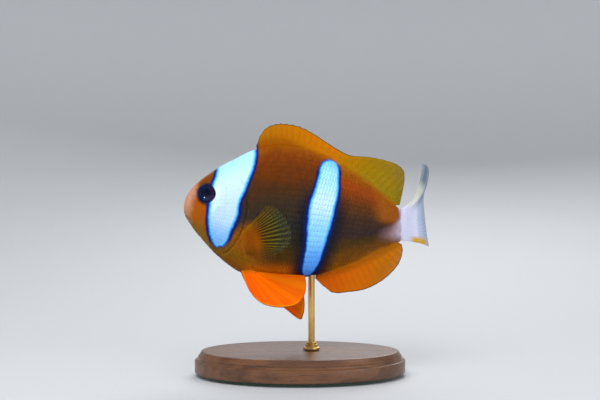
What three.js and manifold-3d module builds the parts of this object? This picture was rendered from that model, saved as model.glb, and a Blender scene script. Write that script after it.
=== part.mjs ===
// A life-size anemonefish, a deep, flat-sided damselfish with two pale bars, swimming with its tail swung to
// its right, on a plain display stand. Millimetres, +Z up.
// Frame: the origin is the centre of the stand's underside. The snout points to -X and the fish's left side
// faces -Y. The body is one closed form, parted by thin cuts into head, jaw, gill covers, trunk and tail, and
// each fin is a ribbed blade whose root stops just short of the body.
import * as THREE from "three";
import { mergeVertices } from "three/addons/utils/BufferGeometryUtils.js";
import Module from "manifold-3d";

const wasm = await Module();
wasm.setup();

// ---------------------------------------------------------------- Driving dimensions

const SNOUT_X = -46.6; // tip of the upper lip
const TAIL_ROOT_X = 41; // where the rays of the tail fin take over from the body
const PART_GAP = 0.3; // clearance of every cut between two parts
const ROUND_PARTS = 28; // facets round the body
const LENGTH_PARTS = 30; // facets along the body
const LEFT = -1; // the side of the body that faces -Y
const RIGHT = 1;

// Side view and top view of the body as [x, value], from the snout back to the root of the tail fin.
const BACK_Z = [
  [SNOUT_X, 67.6], [-44.2, 74], [-37.7, 80], [-27, 86.2], [-17.4, 90.6],
  [-6, 92.0], [8, 88.4], [24, 79.3], [34, 71.4], [TAIL_ROOT_X, 66.5],
];
const BELLY_Z = [
  [SNOUT_X, 67.6], [-45.4, 62.6], [-40.2, 54.9], [-34.8, 49.1], [-28.4, 43.6], [-24, 41.0],
  [-17.6, 39.6], [-6, 38.8], [5, 39.5], [20, 44.2], [34, 50.4], [TAIL_ROOT_X, 52.9],
];
const HALF_WIDTH = [
  [SNOUT_X, 0], [-45.4, 2.5], [-42, 4.4], [-37.7, 6.4], [-31, 8.3], [-22, 9.5],
  [-12, 9.7], [2, 8.8], [16, 6.8], [28, 4.5], [35, 3.1], [39, 2.2], [TAIL_ROOT_X, 1.1],
];
const WIDEST_Z = [[SNOUT_X, 67.6], [-20, 67], [0, 65.5], [25, 61.8], [TAIL_ROOT_X, 59.7]];
// How far the section narrows to a keel: 1 is an ellipse, more is sharper, less is fuller.
const BACK_KEEL = [[SNOUT_X, 0.9], [-35, 0.95], [-17, 1.25], [10, 1.4], [30, 1.25], [TAIL_ROOT_X, 1]];
const BELLY_KEEL = [[SNOUT_X, 0.9], [-30, 1.05], [-10, 0.95], [8, 1.1], [30, 1.25], [TAIL_ROOT_X, 1]];

// The tail swings to the fish's right from here back, on a curve of this radius.
const SWING_START_X = 18;
const SWING_RADIUS = 43;

const MOUTH = { frontX: -46.5, frontZ: 64.6, cornerX: -42.9, cornerZ: 61.6 };
// Fullness of the lips either side of the mouth's line, and where it fades, in shares of the mouth's length.
const LIP = { height: 0.45, width: 1.5, overrun: 0.2, fadeFrom: 0.6, fadeTo: 1.5 };
const CHIN = [[-41.2, 60], [-40.2, 57], [-39.6, 54.5], [-41.5, 51]]; // the jaw's rear edge, going down
const JAW_REACH = [4, 1]; // how far the jaw's cut runs on ahead of the lips, and up

// An eyeball is a flattened ball set in the side of the head, turned a little forwards and up.
const EYE = { x: -36.5, z: 72.4, radius: 4.3, flatRadius: 3.1, sunk: 1.75, forwards: 14, upwards: 8 };
const EYE_FACETS = [16, 9];

// The free edge of the gill cover from top to bottom, and the cheek's edge from bottom to top, as [x, z].
const GILL_EDGE = [
  [-24.6, 80.4], [-21.7, 76.3], [-20.4, 70], [-20.6, 64.5], [-22.3, 58.2],
  [-25.2, 52.8], [-28.4, 49.3], [-31.6, 47.9],
];
const CHEEK_EDGE = [[-34.2, 51.2], [-32.1, 55.3], [-30.4, 60.6], [-29.5, 66.9], [-29.5, 73.1], [-28, 78.4]];
const GILL_COVER = { proud: 0.35, deep: 1.0, middleGap: 1.5, edgePoints: 9 };
const NAPE_CUT = [[-17.9, 97], [-18.6, 89], [-20.3, 83]]; // the head's rear edge above the gill cover
const THROAT_CUT = [[-33.5, 44], [-34.5, 36]]; // and below it
const HEAD_BEHIND_COVER = [0.5, -0.25]; // where that edge runs past the gill cover's
const TAIL_CUT_X = 30;

// Median fins. Each ray leans from its share of the root to its tip, as [share, tip x, tip z].
const DORSAL = {
  rootFrontX: -17.3, rootRearX: 38.6, rays: 27, wave: 0.5, along: 3,
  tips: [
    [0, -17.3, 92], [0.04, -16, 95.6], [0.08, -13.8, 98.7], [0.14, -10.2, 100.4], [0.22, -5.6, 100.6],
    [0.3, 0.2, 99.4], [0.38, 5.4, 96.6], [0.46, 10.9, 92.9], [0.53, 15.9, 89.8], [0.59, 20.4, 87.8],
    [0.67, 27, 87.3], [0.75, 34, 86.1], [0.82, 39.2, 84.4], [0.88, 42.1, 81.9], [0.93, 42.6, 78],
    [0.97, 41.8, 73], [1, 40.6, 68],
  ],
};
const ANAL = {
  rootFrontX: 6.2, rootRearX: 39.8, rays: 16, wave: -0.4, along: 3,
  tips: [
    [0, 6.2, 38.6], [0.06, 8.8, 36], [0.13, 12.9, 33], [0.28, 19.4, 33.2], [0.44, 26, 34.2],
    [0.6, 32.4, 37], [0.72, 37.2, 40.6], [0.83, 40.4, 44.6], [0.92, 41.7, 49], [1, 41.2, 52],
  ],
};
// The tail fin's rays from the lower edge up: [share, rise at root, rise at tip, length, swing at tip].
// Angles are in degrees, and swing is measured from the body's own direction ahead of the tail. A bend below 1
// brings most of the rise or swing to the inner part of the ray.
const CAUDAL = {
  rootLowZ: 53.6, rootHighZ: 66.4, rays: 17, along: 5, swingBend: 0.8, riseBend: 0.61,
  rows: [
    [0, -5.8, -10, 25, 77.1], [0.2, -1.6, -4.7, 23.1, 77.4], [0.4, 2.3, 9.5, 22, 78.9],
    [0.6, 5.3, 25.3, 22.1, 80.6], [0.75, 11.6, 29.3, 23.3, 81.3], [0.86, 12.5, 40, 25.3, 78.5],
    [0.94, 14.8, 47.3, 29.8, 78], [1, 14.9, 74.4, 24.8, 70.3],
  ],
};
// Paired fins, from one edge of the fan to the other: [share, angle from level, length]. The fan stands out
// from the body by its flare, and curls further out towards the tips.
const PECTORAL = {
  rootLow: [-19.9, 48.6], rootHigh: [-21.3, 58.6], rays: 20, along: 3, sunk: 0.6,
  left: { flare: 30, curl: 10 }, right: { flare: 22, curl: 8 },
  rows: [
    [0, -12, 10], [0.15, -4.5, 14.6], [0.32, -1, 19.6], [0.5, 5, 22.6], [0.7, 16, 21.9], [0.87, 28, 18.9],
    [1, 40, 14.4],
  ],
};
const PELVIC = {
  rootFront: [-23.4, 41, 2], rootRear: [-16.8, 41.4, 3.6], rays: 6, along: 4, bow: 0.8,
  left: {
    flare: 42,
    rows: [
      [0, 68, 9.8], [0.15, 69, 13.1], [0.3, 66, 16.5], [0.45, 60, 19.2], [0.6, 51.7, 21.7],
      [0.72, 42.5, 23.4], [0.83, 32, 22.8], [0.92, 19.7, 21], [1, 5, 18.7],
    ],
  },
  right: {
    flare: 12,
    rows: [
      [0, 44, 15.6], [0.15, 43.6, 21.4], [0.35, 43.9, 29], [0.5, 39.9, 28], [0.7, 34.6, 25.1],
      [0.85, 26.5, 21.6], [1, 17, 18.3],
    ],
  },
};
const FIN = { sunk: 1.2, rootThick: 1.4, rayThick: 0.86, webThick: 0.56, rootShare: 0.26, tipShare: 0.7 };
const WAVE_ANGLE = 7; // how far the sideways wave of a median fin runs from front to rear, in radians

const BASE = { halfLength: 42, halfWidth: 29, height: 10, arris: 0.5, facets: 36 };
const BASE_RIM = [[0, 3.5], [1.3, 1.5], [2.2, 0.8], [2.6, 0]]; // the rounded top edge, as [inwards, down]
const FELT = { height: 1.2, inset: 2 };
const ROD = { x: 4.6, radius: 1.3, intoBody: 7, intoBase: 6, chamfer: 0.5, facets: 14 };
// A ferrule is a collar: a plain foot, a sloping shoulder and a neck round the rod.
const FERRULE = { radius: 3.4, footHeight: 1, shoulderRadius: 2.6, shoulderHeight: 1.6, neck: 2.1, height: 3 };

const COLOURS = {
  skin: 0x7a3f12, face: 0xb5610a, fin: 0xc87806, pelvic: 0xff7400, clear: 0x9a8420, tail: 0xdcdcf0,
  eye: 0x0c0e16, walnut: 0x4a2c1a, brass: 0xb59145, felt: 0x1d2420,
};

const { degToRad, lerp, smoothstep, clamp } = THREE.MathUtils;

// ---------------------------------------------------------------- Curves

// A smooth function through [key, value, ...] rows, giving the values in one column.
function through(rows, column = 1, scale = (key) => key) {
  const keys = rows.map((row) => scale(row[0]));
  const values = rows.map((row) => row[column]);
  const last = rows.length - 1;
  const slope = (i) => {
    const before = Math.max(i - 1, 0);
    const after = Math.min(i + 1, last);
    return (values[after] - values[before]) / (keys[after] - keys[before]);
  };
  return (key) => {
    const at = clamp(scale(key), keys[0], keys[last]);
    const i = Math.min(keys.findLastIndex((k) => k <= at), last - 1);
    const span = keys[i + 1] - keys[i];
    const t = (at - keys[i]) / span;
    const rise = (values[i + 1] - values[i]) * t * t * (3 - 2 * t);
    const leaving = t * (1 - t) * (1 - t) * span * slope(i);
    const arriving = t * t * (1 - t) * span * slope(i + 1);
    return values[i] + rise + leaving - arriving;
  };
}

// Evenly spaced points of a smooth line through [x, z] points.
function smoothed(points, count) {
  const curve = new THREE.SplineCurve(points.map(([x, z]) => new THREE.Vector2(x, z)));
  return curve.getSpacedPoints(count - 1).map((p) => [p.x, p.y]);
}

// Outlines are read against the square root of the distance from the snout, so that the snout comes out round.
const fromSnout = (x) => Math.sqrt(Math.max(x - SNOUT_X, 0));
const backZ = through(BACK_Z, 1, fromSnout);
const bellyZ = through(BELLY_Z, 1, fromSnout);
const halfWidth = through(HALF_WIDTH, 1, fromSnout);
const widestZ = through(WIDEST_Z);
const backKeel = through(BACK_KEEL);
const bellyKeel = through(BELLY_KEEL);

// ---------------------------------------------------------------- The body's form

// The straight fish swung round at the tail: the middle plane follows a curve and sections stay square to it.
function swung(x, y, z) {
  const past = Math.max(x - SWING_START_X, 0);
  const angle = Math.atan(past / SWING_RADIUS);
  const aside = (past * past) / (2 * SWING_RADIUS);
  return new THREE.Vector3(x - y * Math.sin(angle), aside + y * Math.cos(angle), z);
}

// How far out from the middle the straight body's surface is, at height z of the section at x.
function sideAt(x, z) {
  const level = widestZ(x);
  const upper = z > level;
  const reach = upper ? backZ(x) - level : level - bellyZ(x);
  const share = Math.min(Math.abs(z - level) / reach, 1);
  const keel = upper ? backKeel(x) : bellyKeel(x);
  return halfWidth(x) * Math.pow(Math.sqrt(1 - share * share), keel);
}

// The lips: a swelling either side of the mouth's line that dies out behind its corner.
function lipSwelling(x, z) {
  const along = (x - MOUTH.frontX) / (MOUTH.cornerX - MOUTH.frontX);
  const lineZ = lerp(MOUTH.frontZ, MOUTH.cornerZ, clamp(along, -LIP.overrun, 1 + LIP.overrun));
  const away = (z - lineZ) / LIP.width;
  const fade = 1 - smoothstep(along, LIP.fadeFrom, LIP.fadeTo);
  return LIP.height * fade * Math.exp(-away * away);
}

// A point of the body's surface, swollen by out. The share of the length runs 0 to 1, round is an angle, and
// open is 0 at the two ends, where the form closes.
function bodyPoint(share, round, open, out) {
  const x = lerp(SNOUT_X, TAIL_ROOT_X, share);
  const level = widestZ(x);
  const up = Math.sin(round) * open;
  const side = Math.cos(round) * open;
  const reach = up > 0 ? backZ(x) - level : level - bellyZ(x);
  const keel = up > 0 ? backKeel(x) : bellyKeel(x);
  const z = level + up * (reach + out);
  const lips = lipSwelling(x, z);
  const wide = halfWidth(x) + out + lips;
  const y = Math.sign(side) * Math.pow(Math.abs(side), keel) * wide;
  return swung(lerp(SNOUT_X - out, TAIL_ROOT_X + out, share) - lips, y, z);
}

// ---------------------------------------------------------------- Solids

const WELD = 1e-3; // points closer than this are one point

// The geometry's points moved by a function, as a closed solid.
function solidFrom(geometry, move) {
  const shaped = geometry.clone();
  const position = shaped.getAttribute("position");
  const point = new THREE.Vector3();
  for (let i = 0; i < position.count; i++) {
    point.copy(move(point.fromBufferAttribute(position, i)));
    position.setXYZ(i, point.x, point.y, point.z);
  }
  shaped.deleteAttribute("normal");
  shaped.deleteAttribute("uv");
  const merged = mergeVertices(shaped, WELD);
  return new wasm.Manifold(
    new wasm.Mesh({
      numProp: 3,
      vertProperties: merged.getAttribute("position").array,
      triVerts: new Uint32Array(merged.index.array),
    }),
  );
}

// The whole body. Rings crowd towards the snout, and the last one is the flat end at the tail fin's root.
function bodySolid(out = 0, roundParts = ROUND_PARTS, lengthParts = LENGTH_PARTS) {
  const sphere = new THREE.SphereGeometry(1, roundParts, lengthParts);
  return solidFrom(sphere, (p) => {
    const ring = Math.acos(clamp(p.y, -1, 1)) / Math.PI;
    const along = Math.min((ring * lengthParts) / (lengthParts - 1), 1);
    const open = Math.hypot(p.x, p.z) < WELD ? 0 : 1;
    return bodyPoint(1 - Math.cos((along * Math.PI) / 2), Math.atan2(p.z, p.x), open, out);
  });
}

// A coarser body, for the hidden faces under the gill covers.
const innerBody = (out) => bodySolid(out, ROUND_PARTS / 2, LENGTH_PARTS / 2);

// A side-view outline of [x, z] points, run through from one y to another.
function slab(outline, nearY, farY) {
  const shape = new THREE.Shape(outline.map(([x, z]) => new THREE.Vector2(x, z)));
  const geometry = new THREE.ExtrudeGeometry(shape, { depth: farY - nearY, bevelEnabled: false });
  return solidFrom(geometry, (p) => new THREE.Vector3(p.x, farY - p.z, p.y));
}

// A blade: a flat box whose two faces follow place(u, v), with u across the rays and v along them. It is thick
// on each ray, thin on the web between, and thickest at the fleshy root.
function blade({ rays, along }, place) {
  const step = 1e-3;
  const box = new THREE.BoxGeometry(1, 1, 1, rays * 2, along, 1);
  return solidFrom(box, (p) => {
    const u = p.x + 0.5;
    const v = p.y + 0.5;
    const acrossRays = place(Math.min(u + step, 1), v).sub(place(Math.max(u - step, 0), v));
    const alongRay = place(u, Math.min(v + step, 1)).sub(place(u, Math.max(v - step, 0)));
    const normal = acrossRays.cross(alongRay).normalize();
    const onRay = Math.round(u * 2 * rays) % 2 === 0;
    const rib = lerp(onRay ? FIN.rayThick : FIN.webThick, FIN.webThick, v * FIN.tipShare);
    const thickness = lerp(FIN.rootThick, rib, smoothstep(v, 0, FIN.rootShare));
    return place(u, v).addScaledVector(normal, p.z * thickness);
  });
}

// ---------------------------------------------------------------- Fins

// A fin of the back or belly line, with a slow sideways wave. Its root follows the outline, a gap away.
function medianFin(fin, outline, awayFromBody) {
  const tipX = through(fin.tips, 1);
  const tipZ = through(fin.tips, 2);
  return blade(fin, (u, v) => {
    const rootX = lerp(fin.rootFrontX, fin.rootRearX, u);
    const rootZ = outline(rootX) + awayFromBody * PART_GAP;
    const aside = fin.wave * Math.sin(u * WAVE_ANGLE) * v * v;
    return swung(lerp(rootX, tipX(u), v), aside, lerp(rootZ, tipZ(u), v));
  });
}

// The tail fin. Each ray is walked from the root in short steps, while its rise and swing change along it.
function caudalFin(fin) {
  const [rootRise, tipRise, length, tipSwing] = [1, 2, 3, 4].map((column) => through(fin.rows, column));
  const rootX = TAIL_ROOT_X + PART_GAP;
  const rootSwing = Math.atan((rootX - SWING_START_X) / SWING_RADIUS);
  const steps = 12;
  return blade(fin, (u, v) => {
    const point = swung(rootX, 0, lerp(fin.rootLowZ, fin.rootHighZ, u));
    for (let i = 0; i < steps; i++) {
      const share = ((i + 0.5) / steps) * v;
      const rise = degToRad(lerp(rootRise(u), tipRise(u), Math.pow(share, fin.riseBend)));
      const swing = lerp(rootSwing, degToRad(tipSwing(u)), Math.pow(share, fin.swingBend));
      const stride = (length(u) * v) / steps;
      const level = stride * Math.cos(rise);
      point.x += level * Math.cos(swing);
      point.y += level * Math.sin(swing);
      point.z += stride * Math.sin(rise);
    }
    return point;
  });
}

function pectoralFin(fin, side) {
  const rise = through(fin.rows, 1);
  const length = through(fin.rows, 2);
  const { flare, curl } = side === LEFT ? fin.left : fin.right;
  return blade(fin, (u, v) => {
    const x = lerp(fin.rootLow[0], fin.rootHigh[0], u);
    const z = lerp(fin.rootLow[1], fin.rootHigh[1], u);
    const up = degToRad(rise(u));
    const out = degToRad(flare + curl * v);
    const reach = length(u) * v;
    const level = reach * Math.cos(up);
    const y = sideAt(x, z) - fin.sunk + level * Math.sin(out);
    return new THREE.Vector3(x + level * Math.cos(out), side * y, z + reach * Math.sin(up));
  });
}

function pelvicFin(fin, side) {
  const { flare, rows } = side === LEFT ? fin.left : fin.right;
  const drop = through(rows, 1);
  const length = through(rows, 2);
  const out = degToRad(flare);
  const [frontX, frontZ, frontY] = fin.rootFront;
  const [rearX, rearZ, rearY] = fin.rootRear;
  return blade(fin, (u, v) => {
    const down = degToRad(drop(u));
    const reach = (length(u) + FIN.sunk) * v - FIN.sunk;
    const fall = reach * Math.sin(down);
    const bow = Math.sin(Math.PI * v) * fin.bow;
    const y = lerp(frontY, rearY, u) + fall * Math.sin(out) + bow;
    return new THREE.Vector3(
      lerp(frontX, rearX, u) + reach * Math.cos(down),
      side * y,
      lerp(frontZ, rearZ, u) - fall * Math.cos(out),
    );
  });
}

// ---------------------------------------------------------------- Eyes

function eyeBall(side, out = 0) {
  const sphere = new THREE.SphereGeometry(1, ...EYE_FACETS);
  const turn = new THREE.Euler(side * degToRad(EYE.upwards), 0, side * degToRad(EYE.forwards));
  const centre = new THREE.Vector3(EYE.x, side * (sideAt(EYE.x, EYE.z) - EYE.sunk), EYE.z);
  return solidFrom(sphere, (p) => {
    const radii = new THREE.Vector3(EYE.radius + out, EYE.flatRadius + out, EYE.radius + out);
    return p.clone().multiply(radii).applyEuler(turn).add(centre);
  });
}

// ---------------------------------------------------------------- Stand

// A turned shape from its [radius, z] profile, stretched along X by a factor.
function turned(profile, { facets, stretch = 1, centreX = 0 }) {
  const points = profile.map(([radius, z]) => new THREE.Vector2(radius, z));
  const lathe = new THREE.LatheGeometry(points, facets);
  return solidFrom(lathe, (p) => new THREE.Vector3(centreX + p.x * stretch, -p.z, p.y));
}

// A plain round bar on the rod's axis, from one height to another.
function bar(radius, low, high) {
  return turned([[0, low], [radius, low], [radius, high], [0, high]], { facets: ROD.facets, centreX: ROD.x });
}

const rodLow = BASE.height - ROD.intoBase;
const rodHigh = bellyZ(ROD.x) + ROD.intoBody;
const bore = ROD.radius + PART_GAP;
const oval = { facets: BASE.facets, stretch: BASE.halfLength / BASE.halfWidth };

function standBase() {
  const { halfWidth: wide, height: top, arris } = BASE;
  const low = FELT.height + PART_GAP;
  const rim = BASE_RIM.map(([inwards, down]) => [wide - inwards, top - down]);
  const profile = [[0, low], [wide - arris, low], [wide, low + arris], ...rim, [0, top]];
  return turned(profile, oval).subtract(bar(bore, rodLow - PART_GAP, top + PART_GAP));
}

function standFelt() {
  const wide = BASE.halfWidth - FELT.inset;
  return turned([[0, 0], [wide, 0], [wide, FELT.height], [0, FELT.height]], oval);
}

function standFerrule() {
  const { radius, footHeight, shoulderRadius, shoulderHeight, neck, height } = FERRULE;
  const low = BASE.height + PART_GAP;
  const profile = [
    [bore, low], [radius, low], [radius, low + footHeight], [shoulderRadius, low + shoulderHeight],
    [neck, low + height], [bore, low + height], [bore, low],
  ];
  return turned(profile, { facets: ROD.facets, centreX: ROD.x });
}

function standRod() {
  const { radius, chamfer, facets, x } = ROD;
  const profile = [
    [0, rodLow], [radius, rodLow], [radius, rodHigh - chamfer], [radius - chamfer, rodHigh], [0, rodHigh],
  ];
  return turned(profile, { facets, centreX: x });
}

// ---------------------------------------------------------------- Parting the body

// Past the body on both sides, above, below and behind.
const FAR = 30;
const ABOVE = 97;
const BELOW = 36;
const BEHIND = 90;

const gillEdge = smoothed(GILL_EDGE, GILL_COVER.edgePoints);
const cheekEdge = smoothed(CHEEK_EDGE, GILL_COVER.edgePoints - 2);

// The side-view region ahead of the head's rear edge, moved back by a clearance.
function headRegion(back) {
  const [right, down] = HEAD_BEHIND_COVER;
  const alongCover = gillEdge.map(([x, z]) => [x + right, z + down]);
  const edge = [...NAPE_CUT, ...alongCover, ...THROAT_CUT].map(([x, z]) => [x + back, z - back / 2]);
  const ahead = SNOUT_X - JAW_REACH[0];
  return slab([[ahead, ABOVE], [ahead, BELOW], ...edge.reverse()], -FAR, FAR);
}

// The side-view region of the lower jaw, grown by a clearance.
function jawRegion(grow) {
  const { frontX, frontZ, cornerX, cornerZ } = MOUTH;
  const [reachAhead, reachUp] = JAW_REACH;
  const ahead = frontX - reachAhead;
  const lips = [[ahead, frontZ + reachUp], [frontX, frontZ], [cornerX, cornerZ]];
  const upper = lips.map(([x, z]) => [x + grow, z + grow]);
  const rear = CHIN.map(([x, z]) => [x + grow, z]);
  return slab([...upper, ...rear, [ahead, CHIN.at(-1)[1]]].reverse(), -FAR, FAR);
}

function gillCoverRegion(side, grow) {
  const outline = [...gillEdge, ...cheekEdge];
  const middle = outline.reduce(([sumX, sumZ], [x, z]) => [sumX + x, sumZ + z], [0, 0]);
  const [middleX, middleZ] = middle.map((sum) => sum / outline.length);
  const grown = outline.map(([x, z]) => {
    const away = Math.hypot(x - middleX, z - middleZ);
    return [x + ((x - middleX) / away) * grow, z + ((z - middleZ) / away) * grow];
  });
  const inner = GILL_COVER.middleGap;
  return side === LEFT ? slab(grown, -FAR, -inner) : slab(grown, inner, FAR);
}

const behind = (x) => slab([[x, BELOW], [BEHIND, BELOW], [BEHIND, ABOVE], [x, ABOVE]], -FAR, FAR);

function bodyParts() {
  const whole = bodySolid();
  const proud = bodySolid(GILL_COVER.proud);
  const coverInside = innerBody(-GILL_COVER.deep);
  const pocketFloor = innerBody(-GILL_COVER.deep - PART_GAP);
  const headAll = whole.intersect(headRegion(0));
  const rest = whole.subtract(headRegion(PART_GAP));
  const rodSocket = bar(bore, rodLow, rodHigh + PART_GAP);
  const parts = {
    lower_jaw: headAll.intersect(jawRegion(0)),
    trunk: rest.subtract(behind(TAIL_CUT_X - PART_GAP)).subtract(rodSocket),
    tail: rest.intersect(behind(TAIL_CUT_X)),
  };
  let head = headAll.subtract(jawRegion(PART_GAP));
  for (const [side, name] of [[LEFT, "gill_cover_left"], [RIGHT, "gill_cover_right"]]) {
    parts[name] = proud.subtract(coverInside).intersect(gillCoverRegion(side, 0));
    head = head.subtract(gillCoverRegion(side, PART_GAP).subtract(pocketFloor));
    head = head.subtract(eyeBall(side, PART_GAP));
  }
  return { head, ...parts };
}

// ---------------------------------------------------------------- The scene graph

// A named mesh of the solid's largest piece, which drops any crumb that a cut leaves.
function meshOf(name, solid, color, roughness = 0.45, metalness = 0) {
  const [piece] = solid.decompose().sort((a, b) => b.volume() - a.volume());
  const { numProp, numVert, vertProperties, triVerts } = piece.getMesh();
  const positions = new Float32Array(numVert * 3);
  for (let i = 0; i < numVert; i++) {
    positions.set(vertProperties.subarray(i * numProp, i * numProp + 3), i * 3);
  }
  const geometry = new THREE.BufferGeometry()
    .setAttribute("position", new THREE.BufferAttribute(positions, 3))
    .setIndex(new THREE.BufferAttribute(triVerts, 1));
  geometry.computeVertexNormals();
  const mesh = new THREE.Mesh(geometry, new THREE.MeshStandardMaterial({ color, roughness, metalness }));
  mesh.name = name;
  return mesh;
}

const aroundBody = bodySolid(PART_GAP);
const { head, lower_jaw: jaw, trunk, tail, ...gillCovers } = bodyParts();

const fish = new THREE.Group();
fish.add(
  meshOf("head", head, COLOURS.face),
  meshOf("lower_jaw", jaw, COLOURS.face),
  ...Object.entries(gillCovers).map(([name, solid]) => meshOf(name, solid, COLOURS.face)),
  meshOf("trunk", trunk, COLOURS.skin),
  meshOf("tail", tail, COLOURS.skin),
  meshOf("dorsal_fin", medianFin(DORSAL, backZ, 1), COLOURS.fin),
  meshOf("anal_fin", medianFin(ANAL, bellyZ, -1), COLOURS.fin),
  meshOf("caudal_fin", caudalFin(CAUDAL), COLOURS.tail),
);
for (const [side, name] of [[LEFT, "left"], [RIGHT, "right"]]) {
  fish.add(
    meshOf(`pectoral_fin_${name}`, pectoralFin(PECTORAL, side).subtract(aroundBody), COLOURS.clear),
    meshOf(`pelvic_fin_${name}`, pelvicFin(PELVIC, side).subtract(aroundBody), COLOURS.pelvic),
    meshOf(`eye_${name}`, eyeBall(side), COLOURS.eye, 0.1),
  );
}

const stand = new THREE.Group();
stand.add(
  meshOf("stand_base", standBase(), COLOURS.walnut, 0.4),
  meshOf("stand_felt", standFelt(), COLOURS.felt, 1),
  meshOf("stand_ferrule", standFerrule(), COLOURS.brass, 0.3, 1),
  meshOf("stand_rod", standRod(), COLOURS.brass, 0.3, 1),
);

const model = new THREE.Group();
model.add(fish, stand);

export default model;
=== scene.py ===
# %% [markdown]
# # A clownfish on a display stand
# This lesson turns a plain CAD model of an anemonefish into a lifelike one. The CAD model says where
# everything is. We give the fish one skin with its fins grown on, a coat of overlapping scales, and two
# wet eyes, and then a small turned stand. Lengths are worked out in millimetres and turned into metres
# only when a mesh is made.

# %% Load the frame
import math

import bmesh
import bpy
import numpy as np
from mathutils import Matrix, Vector, kdtree


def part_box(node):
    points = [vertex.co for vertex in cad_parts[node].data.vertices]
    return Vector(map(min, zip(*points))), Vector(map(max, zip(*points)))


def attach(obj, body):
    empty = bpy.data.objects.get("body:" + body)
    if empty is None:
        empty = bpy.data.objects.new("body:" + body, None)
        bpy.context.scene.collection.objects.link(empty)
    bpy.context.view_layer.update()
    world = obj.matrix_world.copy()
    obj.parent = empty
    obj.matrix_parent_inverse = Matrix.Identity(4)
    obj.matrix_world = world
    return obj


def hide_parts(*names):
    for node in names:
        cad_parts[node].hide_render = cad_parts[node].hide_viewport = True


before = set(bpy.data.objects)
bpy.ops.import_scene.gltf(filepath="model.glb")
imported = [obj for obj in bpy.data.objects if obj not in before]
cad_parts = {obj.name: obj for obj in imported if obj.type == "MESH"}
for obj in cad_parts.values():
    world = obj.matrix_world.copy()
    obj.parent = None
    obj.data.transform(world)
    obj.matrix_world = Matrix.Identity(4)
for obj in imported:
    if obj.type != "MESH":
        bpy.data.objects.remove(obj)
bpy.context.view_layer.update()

MM = 0.001
print("CAD nodes:", len(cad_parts))

# %% [markdown]
# ## The body's outline
# A fish's body is easiest to think of as a straight one, seen from the side and from above. The back, the
# belly and the half-width are each a few [x, value] rows with a smooth curve through them. They are the
# same rows as in the CAD model, so the skin lands where the solids are. Near the snout the curves are read
# against the square root of the distance from its tip, which makes the snout round and not pointed.

# %% Smooth curves through a few rows
SNOUT_X, TAIL_ROOT_X = -46.6, 41.0


def through(rows, column=1, from_snout=False):
    """A smooth function through [key, value, ...] rows, giving the values in one column."""
    def scaled(x):
        x = np.asarray(x, float)
        return np.sqrt(np.maximum(x - SNOUT_X, 0)) if from_snout else x

    keys = scaled([row[0] for row in rows])
    values = np.array([row[column] for row in rows], float)
    slopes = np.empty_like(values)
    slopes[1:-1] = (values[2:] - values[:-2]) / (keys[2:] - keys[:-2])
    slopes[0] = (values[1] - values[0]) / (keys[1] - keys[0])
    slopes[-1] = (values[-1] - values[-2]) / (keys[-1] - keys[-2])

    def read(at):
        at = np.clip(scaled(at), keys[0], keys[-1])
        i = np.clip(np.searchsorted(keys, at, "right") - 1, 0, len(keys) - 2)
        span = keys[i + 1] - keys[i]
        t = (at - keys[i]) / span
        rise = (values[i + 1] - values[i]) * t * t * (3 - 2 * t)
        return values[i] + rise + span * t * (1 - t) * ((1 - t) * slopes[i] - t * slopes[i + 1])

    return read


def smooth(value, low, high):
    """0 below low, 1 above high, and a soft step between."""
    t = np.clip((value - low) / (high - low), 0, 1)
    return t * t * (3 - 2 * t)


def bump(value, width):
    return np.exp(-(value / width) ** 2)


# %% The body's rows
BACK_Z = [(SNOUT_X, 67.6), (-44.2, 74), (-37.7, 80), (-27, 86.2), (-17.4, 90.6),
          (-6, 92.0), (8, 88.4), (24, 79.3), (34, 71.4), (TAIL_ROOT_X, 66.5)]
BELLY_Z = [(SNOUT_X, 67.6), (-45.4, 62.6), (-40.2, 54.9), (-34.8, 49.1), (-28.4, 43.6), (-24, 41.0),
           (-17.6, 39.6), (-6, 38.8), (5, 39.5), (20, 44.2), (34, 50.4), (TAIL_ROOT_X, 52.9)]
HALF_WIDTH = [(SNOUT_X, 0), (-45.4, 2.5), (-42, 4.4), (-37.7, 6.4), (-31, 8.3), (-22, 9.5), (-12, 9.7),
              (2, 8.8), (16, 6.8), (28, 4.5), (35, 3.1), (39, 2.2), (TAIL_ROOT_X, 1.1)]
WIDEST_Z = [(SNOUT_X, 67.6), (-20, 67), (0, 65.5), (25, 61.8), (TAIL_ROOT_X, 59.7)]
BACK_KEEL = [(SNOUT_X, 0.9), (-35, 0.95), (-17, 1.25), (10, 1.4), (30, 1.25), (TAIL_ROOT_X, 1)]
BELLY_KEEL = [(SNOUT_X, 0.9), (-30, 1.05), (-10, 0.95), (8, 1.1), (30, 1.25), (TAIL_ROOT_X, 1)]
back_z = through(BACK_Z, from_snout=True)
belly_z = through(BELLY_Z, from_snout=True)
half_width = through(HALF_WIDTH, from_snout=True)
widest_z = through(WIDEST_Z)
back_keel = through(BACK_KEEL)
belly_keel = through(BELLY_KEEL)
print("Body depth at its deepest, mm:", round(float(back_z(-6) - belly_z(-6)), 1))

# %% [markdown]
# ## Lips, sections and the swing of the tail
# A point of the skin is given by its place along the fish and its turn round the section, where 0 is the
# widest level and a quarter turn up is the ridge of the back. The lips swell either side of the mouth's
# line. The skin is set in by the depth of the scaly coat, so that the coat ends where the CAD solids do.
# Last, the straight fish is swung round at the tail, with every section kept square to the curve.

# %% The mouth and how the tail swings
COAT = 0.25  # how far the skin lies inside the solids
SNOUT_FADE = 1.2  # the inset fades out towards the snout's tip, where the section has no width
MOUTH_FRONT, MOUTH_CORNER = (-46.5, 64.6), (-42.9, 61.6)
LIP_HEIGHT, LIP_WIDTH, LIP_OVERRUN = 0.45, 1.5, 0.2
SWING_START_X, SWING_RADIUS = 18.0, 43.0
TINY = 1e-12


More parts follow.
